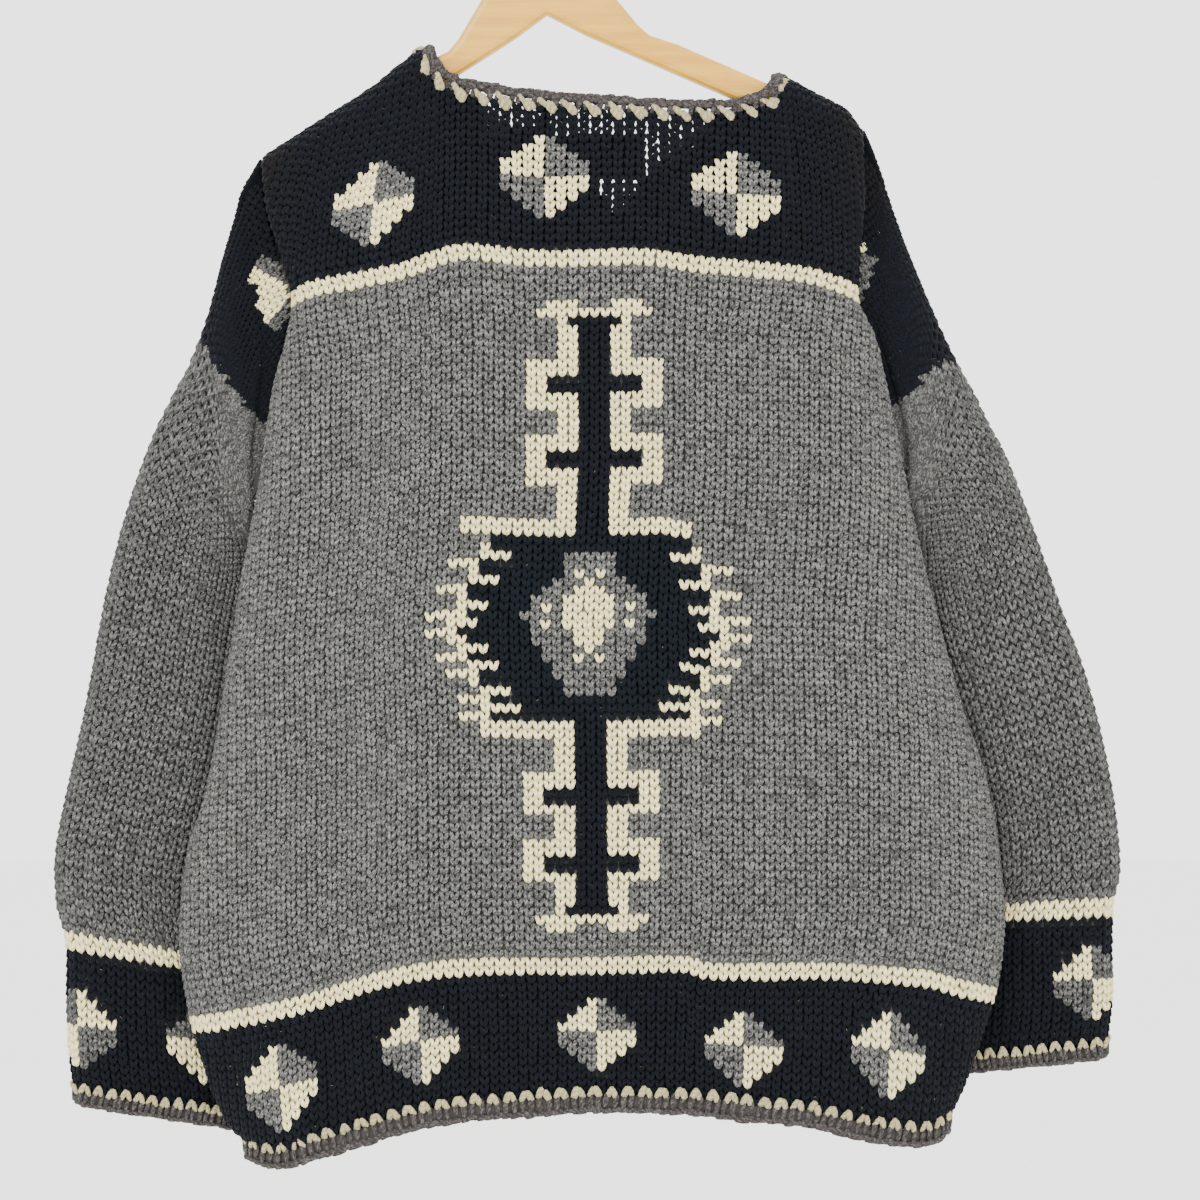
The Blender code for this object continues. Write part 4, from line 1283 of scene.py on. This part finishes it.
def strokes(name, leg, yarn, points, share=(1.0, 1.0, 1.0), unevenness=0.0, seed=0,
            middle=0.0, worn=0.0):
    """One piece of yarn: a leg on each point, given as places, turns, sizes and shades."""
    places, turns, sizes, shades = points
    count = len(places)
    cloud = point_cloud(f"{name}_points", places, {
        "turn": turns, "size": sizes, "shade": shades,
        "middle": np.broadcast_to(middle, count), "worn": np.broadcast_to(worn, count)})
    kit = tools()
    made = worked(name, cloud, kit["tree"], {
        "Leg": kit[leg], "Width": share[0], "Length": share[1], "Thickness": share[2],
        "Unevenness": unevenness, "Seed": seed, "Yarn": kit["yarns"][yarn]})
    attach(made, "root")
    return made


def shows_through(places):
    """Whether each place lies where only the back hangs between the eye and the light."""
    x, z = places[..., 0], places[..., 2]
    found = np.zeros(x.shape, bool)
    for top, bottom, left, right in SHOW_THROUGH:
        found |= (x > place_x(left)) & (x < place_x(right)) & (z < place_z(top)) & (z > place_z(bottom))
    return found


def fuzz(name, stitches, count, length, yarn):
    """Loose hairs bowed out from some of the stitches, each lying its own way."""
    seed = bpy.context.scene.sweater_yarn.seed
    rng = np.random.default_rng(seed + count)
    chosen = stitches[rng.choice(len(stitches), count, replace=False)]
    place, up, normal = chosen[:, 0:3], chosen[:, 3:6], chosen[:, 6:9]
    across = unit(np.cross(up, normal))
    turn = rng.uniform(0, math.pi, count)[:, None]
    along = up * np.cos(turn) + across * np.sin(turn)
    out = squared(normal, along)
    longs = rng.uniform(0.7, 1.3, count) * length
    sizes = np.stack([np.full(count, HAIR_WIDTH), longs, np.minimum(longs, HAIR_RISE)], axis=1)
    turns = euler_turns(np.cross(along, out), along, out)
    points = (place + normal * HAIR_LIFT, turns, sizes, rng.random(count))
    return strokes(name, "hair", yarn, points, seed=seed)


def knit(name, cloth, chart, leg="leg", grey="grey", hairs=0, lint=0):
    """The stitches of a cloth as one mesh for each yarn, with its loose hairs and lint."""
    settings = bpy.context.scene.sweater_yarn
    stitches = cloth.stitches()
    yarn = chart(stitches[:, 11], stitches[:, 12], stitches[:, 0:3])
    pieces = []
    if hairs:
        pieces.append(fuzz(f"{name}_hairs", stitches[yarn != CREAM], hairs, HAIR_LENGTH, "grey"))
    if lint:
        pieces.append(fuzz(f"{name}_lint", stitches[yarn == NAVY], lint, LINT_LENGTH, "cream"))
    rng = np.random.default_rng(settings.seed)
    for number, label in enumerate(YARNS):
        chosen = stitches[yarn == number]
        if not len(chosen):
            continue
        shade = rng.random(len(chosen))
        legs = leg_points(chosen, settings, rng)
        places, turns = (np.concatenate(found) for found in zip(*legs))
        wide = np.tile(chosen[:, 9], 2)
        wider = wide * np.where(shows_through(places), OPEN_WIDER, 1.0)
        sizes = np.stack([wider, np.tile(chosen[:, 10], 2), wide], axis=1)
        x, z = places[:, 0], places[:, 2]
        across = (x - place_x(TEAL_MIDDLE[0])) / (TEAL_REACH[0] * GRID)
        down = (z - place_z(TEAL_MIDDLE[1])) / (TEAL_REACH[1] * GRID)
        high = np.clip((z - place_z(WORN_FROM[0])) / WORN_FROM[1], 0, 1)
        sideways = np.clip((np.abs(x - place_x(WORN_MIDDLE)) - WORN_OUT[0]) / WORN_OUT[1], 0, 1)
        pieces.append(strokes(
            f"{name}_{label}_stitches", leg, grey if label == "grey" else label,
            (places, turns, sizes, np.tile(shade, 2)),
            (settings.leg_width, settings.leg_length, settings.leg_thickness),
            settings.unevenness, settings.seed, np.exp(-(across ** 2 + down ** 2)), high * sideways))
    return pieces


def backing(name, surface, yarn, kept, outwards):
    """The thin cloth behind the stitches, as a closed skin with rims, coloured by its stitches.
    Its colours are darkened by painted shade, as it shows only in the shaded gaps between them.
    """
    wool = bpy.context.scene.sweater_yarn
    navy = rgba(wool.navy, WRONG_SIDE_NAVY)[:3]
    # Painted shade: the stitches' colours darkened for the shade in the gaps between the stitches.
    colours = np.array([navy, wool.grey, WRONG_SIDE_CREAM])[yarn] * WRONG_SIDE_PAINTED_SHADE
    rows, columns = surface.shape[:2]
    shaped = bmesh.new()
    layer = shaped.verts.layers.float_color.new("yarn")
    grid = [[shaped.verts.new(tuple(p)) for p in row] for row in surface]
    for r in range(rows):
        for c in range(columns):
            grid[r][c][layer] = (*colours[r, c], 1.0)
    for r in range(rows - 1):
        for c in range(columns - 1):
            if kept[r, c]:
                face = shaped.faces.new((grid[r][c], grid[r][c + 1], grid[r + 1][c + 1], grid[r + 1][c]))
                face.smooth = True
    loose = [v for v in shaped.verts if not v.link_faces]
    bmesh.ops.delete(shaped, geom=loose, context="VERTS")
    bmesh.ops.remove_doubles(shaped, verts=shaped.verts, dist=0.05 * MM)
    made = filled(name, shaped)
    made.data.materials.append(tools()["cloth"])
    made.data.update()
    if sum(p.normal.dot(outwards(p.center)) * p.area for p in made.data.polygons) < 0:
        made.data.flip_normals()
    wall = made.modifiers.new("wall", "SOLIDIFY")
    wall.thickness = SKIN_THICKNESS
    wall.offset = -1.0
    wall.use_even_offset = False
    mesh = settled(made, wall)
    old = made.data
    made.data = mesh
    bpy.data.meshes.remove(old)
    mesh.name = name
    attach(made, "root")
    return made


def panel_backing(name, side, chart):
    """The skin of a panel. On the back it is open where the light comes through between the stitches."""
    rows = np.concatenate([np.linspace(0, 1, 34) ** 1.5, np.linspace(1, 2, 44)[1:],
                           np.linspace(2, 3, 10)[1:]])
    corners = (NECK_LEFT, NECK_LEFT + 0.006, NECK_LEFT + 0.014, NECK_RIGHT - 0.014, NECK_RIGHT - 0.006,
               NECK_RIGHT, 0.008, 0.03, 0.97, 0.992)
    shares = np.unique(np.concatenate([np.linspace(0, 1, 72), corners]))
    surface = panel(side, rows, shares, SKIN_INSET)
    column = (surface[:, :, 0] - middle_x(surface[:, :, 2])) / stitch_widths(rows)[:, None]
    ends = YOKE_STRIPE[0][0], YOKE_STRIPE[-1][0]
    stripe = on_line(YOKE_STRIPE, np.clip(surface[:, :, 0], *place_x(ends)))
    above = (stripe - surface[:, :, 2]) / COURSE
    row = np.where(rows[:, None] <= 1, above, counted_rows(rows)[:, None])
    yarn = chart(column.ravel(), np.floor(row).ravel(), surface.reshape(-1, 3)).reshape(row.shape)
    yarn[row < NAVY_SKIN_ROW] = NAVY
    kept = np.ones((len(rows) - 1, len(shares) - 1), bool)
    if side < 0:
        kept &= ~shows_through((surface[1:, 1:] + surface[:-1, :-1]) / 2)
    return backing(name, surface, yarn, kept, lambda p: Vector((0, side, 0)))


def sleeve_backing(name, sleeve, chart):
    rings = sleeve_surface(sleeve["stations"], sleeve["end"], 3, 2)
    normals = surface_normals(rings, rings - rings.mean(axis=1)[:, None])
    surface = rings - normals * SKIN_INSET
    row = sleeve_rows(rings, sleeve)[:, None] + np.zeros(rings.shape[:2])
    runs = np.array([run_along(points) for points in rings])
    column = (runs - runs[:, rings.shape[1] // 2][:, None]) / SLEEVE_STITCH
    yarn = chart(column.ravel(), np.floor(row).ravel(), rings.reshape(-1, 3)).reshape(row.shape)
    kept = np.ones((rings.shape[0] - 1, rings.shape[1] - 1), bool)
    centres = surface.mean(axis=1)

    def outwards(place):
        return place - Vector(centres[np.argmin(np.abs(centres[:, 2] - place.z))])

    return backing(name, surface, yarn, kept, outwards)


def knit_panel(name, side, chart, area, **choices):
    """A panel's skin and stitches, each parented to the root; the model's own panel is hidden."""
    made = panel_backing(f"{name}_cloth", side, chart)
    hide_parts(name)
    pieces = knit(name, panel_cloth(side), chart, **choices)
    return {"FINISHED"}


class SWEATER_OT_back(bpy.types.Operator):
    """Knits the patterned back and its backing"""

    bl_idname = "sweater.back"
    bl_label = "Back"

    def execute(self, context):
        return knit_panel("back", -1, back_chart, 0.36, hairs=360, lint=80)


class SWEATER_OT_front(bpy.types.Operator):
    """Knits the front with its V neck and its backing"""

    bl_idname = "sweater.front"
    bl_label = "Front"

    def execute(self, context):
        return knit_panel("front", 1, front_chart, 0.34, leg="plain_leg")


class SWEATER_OT_sleeves(bpy.types.Operator):
    """Knits both sleeves and their backings"""

    bl_idname = "sweater.sleeves"
    bl_label = "Sleeves"

    def execute(self, context):
        for side, sleeve in SLEEVES.items():
            def chart(column, row, places, sleeve=sleeve):
                return sleeve_chart(column, row, places, sleeve)

            made = sleeve_backing(f"sleeve_{side}_cloth", sleeve, chart)
            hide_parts(f"sleeve_{side}")
            # The sleeves take the darker grey, which is painted shade.
            pieces = knit(f"sleeve_{side}", sleeve_cloth(sleeve), chart, grey="painted_shade_sleeve_grey",
                          hairs=140, lint=16)
        return {"FINISHED"}


class SWEATER_OT_hanger(bpy.types.Operator):
    """Finishes the wooden bar and the wire hook"""

    bl_idname = "sweater.hanger"
    bl_label = "Hanger"

    def execute(self, context):
        settings = context.scene.sweater_hanger
        finish(NODES["hanger_bar"], wood_material(settings))
        finish(NODES["hanger_hook"], steel_material(settings))
        return {"FINISHED"}


def finish(node, material):
    node.data.materials.clear()
    node.data.materials.append(material)


class Rim:
    """A closed rim of the cloth, for places along it, away from the cloth's edge and out of its middle."""

    def __init__(self, outer, inner, upward, lean=0.0):
        middle = (outer + inner) / 2
        thick = unit(outer - inner)
        rise = unit(np.cross(np.roll(middle, -1, axis=0) - np.roll(middle, 1, axis=0), thick))
        if rise[:, 2].sum() * upward < 0:
            rise = -rise
        rise = unit(rise + np.array([0.0, 0.0, lean]))
        self.table = np.concatenate([middle, rise, thick], axis=1)
        self.table = np.concatenate([self.table, self.table[:1]])
        self.run = run_along(self.table[:, 0:3])
        self.length = self.run[-1]

    def at(self, along, away, out):
        """Places on the rim and the way out of the cloth there, for lengths in metres."""
        along = np.mod(along, self.length)
        found = blended(along, self.run, self.table)
        rise, thick = unit(found[:, 3:6]), unit(found[:, 6:9])
        return found[:, 0:3] + rise * np.reshape(away, (-1, 1)) + thick * out, thick


def body_rim(row, shares, upward, lean=0.0):
    """The rim of the body at a row: across the back and home along the front."""
    loops = []
    for inset in (0.0, WALL):
        back, front = (panel(side, (row,), shares, inset)[0] for side in (-1, 1))
        for end in (0, -1):
            back[end, 1] = (back[end, 1] + front[end, 1]) / 2
        loops.append(np.concatenate([back, front[-2:0:-1]]))
    return Rim(*loops, upward, lean)


def cuff_rim(sleeve):
    rings = sleeve_rings(sleeve["stations"], sleeve["end"])
    ring = refined(rings[-1], 4, closed=True)
    middle = ring.mean(axis=0)
    out = unit(ring - middle)
    along = unit(np.roll(ring, -1, axis=0) - np.roll(ring, 1, axis=0))
    way = rings[-2].mean(axis=0) - middle
    side = unit(np.cross(along, unit(way)))
    side = np.where((side * out).sum(axis=1, keepdims=True) < 0, -side, side)
    return Rim(ring, ring - side * WALL, -1)


def corner_bulk(places):
    """1 at the neck's two ends on the shoulders, and 0 away from them."""
    away = [np.hypot(places[:, 0] - place_x(across), places[:, 2] - place_z(down))
            for across, down in (BACK_NECK[0], BACK_NECK[-1])]
    return np.exp(-(np.minimum(*away) / (11 * MM)) ** 2)


def crochet(name, rim, pitch, courses, scale):
    """Yarn strokes repeated along a rim: one mesh for each yarn that its courses name."""
    settings = bpy.context.scene.sweater_yarn
    count = int(round(rim.length / (pitch * MM)))
    step = rim.length / count
    rng = np.random.default_rng(settings.seed + count)
    for label in ("edging", "ecru"):
        made = []
        for yarn, offset, start, end, width, thickness in courses:
            if yarn != label:
                continue
            jitter = rng.normal(0, 0.45 * MM, (2, count))
            ends = []
            for ahead, away, out in (start, end):
                along = (np.arange(count) + offset) * step + ahead * scale * MM + jitter[0]
                ends.append(rim.at(along, away * MM * (scale if away > 0 else 1.0) + jitter[1], out * MM))
            (first, first_out), (last, last_out) = ends
            up = unit(last - first)
            out = squared((first_out + last_out) * (1 if start[2] + end[2] >= 0 else -1), up)
            plump = rng.uniform(0.88, 1.12, count) * (1 + 0.6 * corner_bulk(first))
            length = np.linalg.norm(last - first, axis=1) + 0.35 * width * MM
            sizes = np.stack([width * scale * MM * plump, length, thickness * MM * plump], axis=1)
            turns = euler_turns(np.cross(up, out), up, out)
            made.append(((first + last) / 2, turns, sizes, rng.random(count)))
        points = [np.concatenate(found) for found in zip(*made)]
        strokes(f"{name}_{label}", "cord", label, points,
                unevenness=settings.unevenness, seed=settings.seed + 3)


def roped(name, rim, away, radius, material):
    """A closed round cord that follows a rim."""
    count, sides = int(rim.length / (4 * MM)), 8
    along = np.linspace(0, rim.length, count, endpoint=False)
    centre, thick = rim.at(along, away, 0.0)
    rise = unit(rim.at(along, away + MM, 0.0)[0] - centre)
    turns = (2 * math.pi * np.arange(sides) / sides)[:, None]
    grid = centre[:, None] + radius * (np.cos(turns) * thick[:, None] + np.sin(turns) * rise[:, None])
    shaped = bmesh.new()
    rings = [[shaped.verts.new(tuple(p)) for p in ring] for ring in grid]
    for ring, after in zip(rings, [*rings[1:], rings[0]]):
        for k in range(sides):
            n = (k + 1) % sides
            shaped.faces.new((ring[k], ring[n], after[n], after[k])).smooth = True
    bmesh.ops.recalc_face_normals(shaped, faces=shaped.faces)
    made = filled(name, shaped)
    made.data.materials.append(material)
    return made


class SWEATER_OT_edgings(bpy.types.Operator):
    """Crochets the neck, the hem and both cuffs"""

    bl_idname = "sweater.edgings"
    bl_label = "Edgings"

    def execute(self, context):
        wool = tools()["yarns"]["edging"]
        crochet("hem_crochet", body_rim(3.0, np.linspace(0, 1, 160), -1), HEM_PITCH, HEM_CROCHET, 1.0)
        for side, sleeve in SLEEVES.items():
            crochet(f"cuff_crochet_{side}", cuff_rim(sleeve), CUFF_PITCH, HEM_CROCHET, CUFF_SCALE)
        for name in ("hem_edging", "cuff_edging_left", "cuff_edging_right"):
            finish(NODES[name], wool)
        turned = np.array((0.0, 0.004, 0.010, 0.016))
        shares = np.concatenate([NECK_LEFT + turned, np.linspace(NECK_LEFT + 0.024, NECK_RIGHT - 0.024, 80),
                                 NECK_RIGHT - turned[::-1]])
        neck = body_rim(0.0, shares, 1, lean=0.6)
        core = roped("neck_cord", neck, 5.4 * MM, 2.1 * MM, wool)
        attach(core, "root")
        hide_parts("neck_edging")
        crochet("neck_crochet", neck, NECK_PITCH, NECK_CROCHET, 1.0)
        return {"FINISHED"}


class SWEATER_OT_stage(bpy.types.Operator):
    """Sets the floor, the soft lights and the camera"""

    bl_idname = "sweater.stage"
    bl_label = "Stage"

    def execute(self, context):
        settings = context.scene.sweater_stage
        scene = context.scene
        mesh = bpy.data.meshes.new("floor")
        corners = [(x * FLOOR_REACH, y * FLOOR_REACH, -settings.floor_drop)
                   for x, y in ((-1, -1), (1, -1), (1, 1), (-1, 1))]
        mesh.from_pydata(corners, [], [(0, 1, 2, 3)])
        mesh.materials.append(plain_material("pale_floor", (0.92, 0.92, 0.91), 0.8))
        shown("floor", mesh)
        world = bpy.data.worlds.new("studio")
        world.use_nodes = True
        ground = world.node_tree.nodes["Background"]
        ground.inputs["Color"].default_value = (1.0, 1.0, 1.0, 1.0)
        ground.inputs["Strength"].default_value = settings.daylight
        scene.world = world
        for name, place, size, power in LAMPS:
            light = bpy.data.lights.new(name, "AREA")
            light.size = size
            light.energy = power
            lamp = shown(name, light)
            lamp.location = place
            way = Vector(LAMP_TARGET) - Vector(place)
            lamp.rotation_euler = way.to_track_quat("-Z", "Y").to_euler()
        lens = bpy.data.cameras.new("camera")
        lens.sensor_width = SENSOR_WIDTH
        lens.lens = SENSOR_WIDTH * settings.distance / settings.frame_width
        camera = shown("camera", lens)
        camera.location = (float(place_x(VIEW_MIDDLE)), -settings.distance, float(place_z(VIEW_MIDDLE)))
        camera.rotation_euler = (math.radians(90), 0, 0)
        scene.camera = camera
        return {"FINISHED"}


class SWEATER_PT_panel(bpy.types.Panel):
    """Lists the steps that make the sweater"""

    bl_label = "Sweater"
    bl_idname = "SWEATER_PT_panel"
    bl_space_type = "VIEW_3D"
    bl_region_type = "UI"
    bl_category = "Sweater"

    def draw(self, context):
        for operator in OPERATORS:
            self.layout.operator(operator.bl_idname)


OPERATORS = (
    SWEATER_OT_stage, SWEATER_OT_hanger, SWEATER_OT_back, SWEATER_OT_front, SWEATER_OT_sleeves,
    SWEATER_OT_edgings,
)
GROUPS = (
    ("sweater_yarn", YarnSettings), ("sweater_hanger", HangerSettings), ("sweater_stage", StageSettings),
)


def register():
    for name, group in GROUPS:
        bpy.utils.register_class(group)
        setattr(bpy.types.Scene, name, PointerProperty(type=group))
    for operator in OPERATORS:
        bpy.utils.register_class(operator)
    bpy.utils.register_class(SWEATER_PT_panel)


def unregister():
    bpy.utils.unregister_class(SWEATER_PT_panel)
    for operator in reversed(OPERATORS):
        bpy.utils.unregister_class(operator)
    for name, group in reversed(GROUPS):
        delattr(bpy.types.Scene, name)
        bpy.utils.unregister_class(group)


def main():
    register()
    bpy.ops.sweater.stage()
    bpy.ops.sweater.hanger()
    bpy.ops.sweater.back()
    bpy.ops.sweater.front()
    bpy.ops.sweater.sleeves()
    bpy.ops.sweater.edgings()
    for shape in ("leg", "plain_leg", "hair", "cord"):
        bpy.data.objects.remove(TOOLS.pop(shape))


if __name__ == "__main__":
    main()
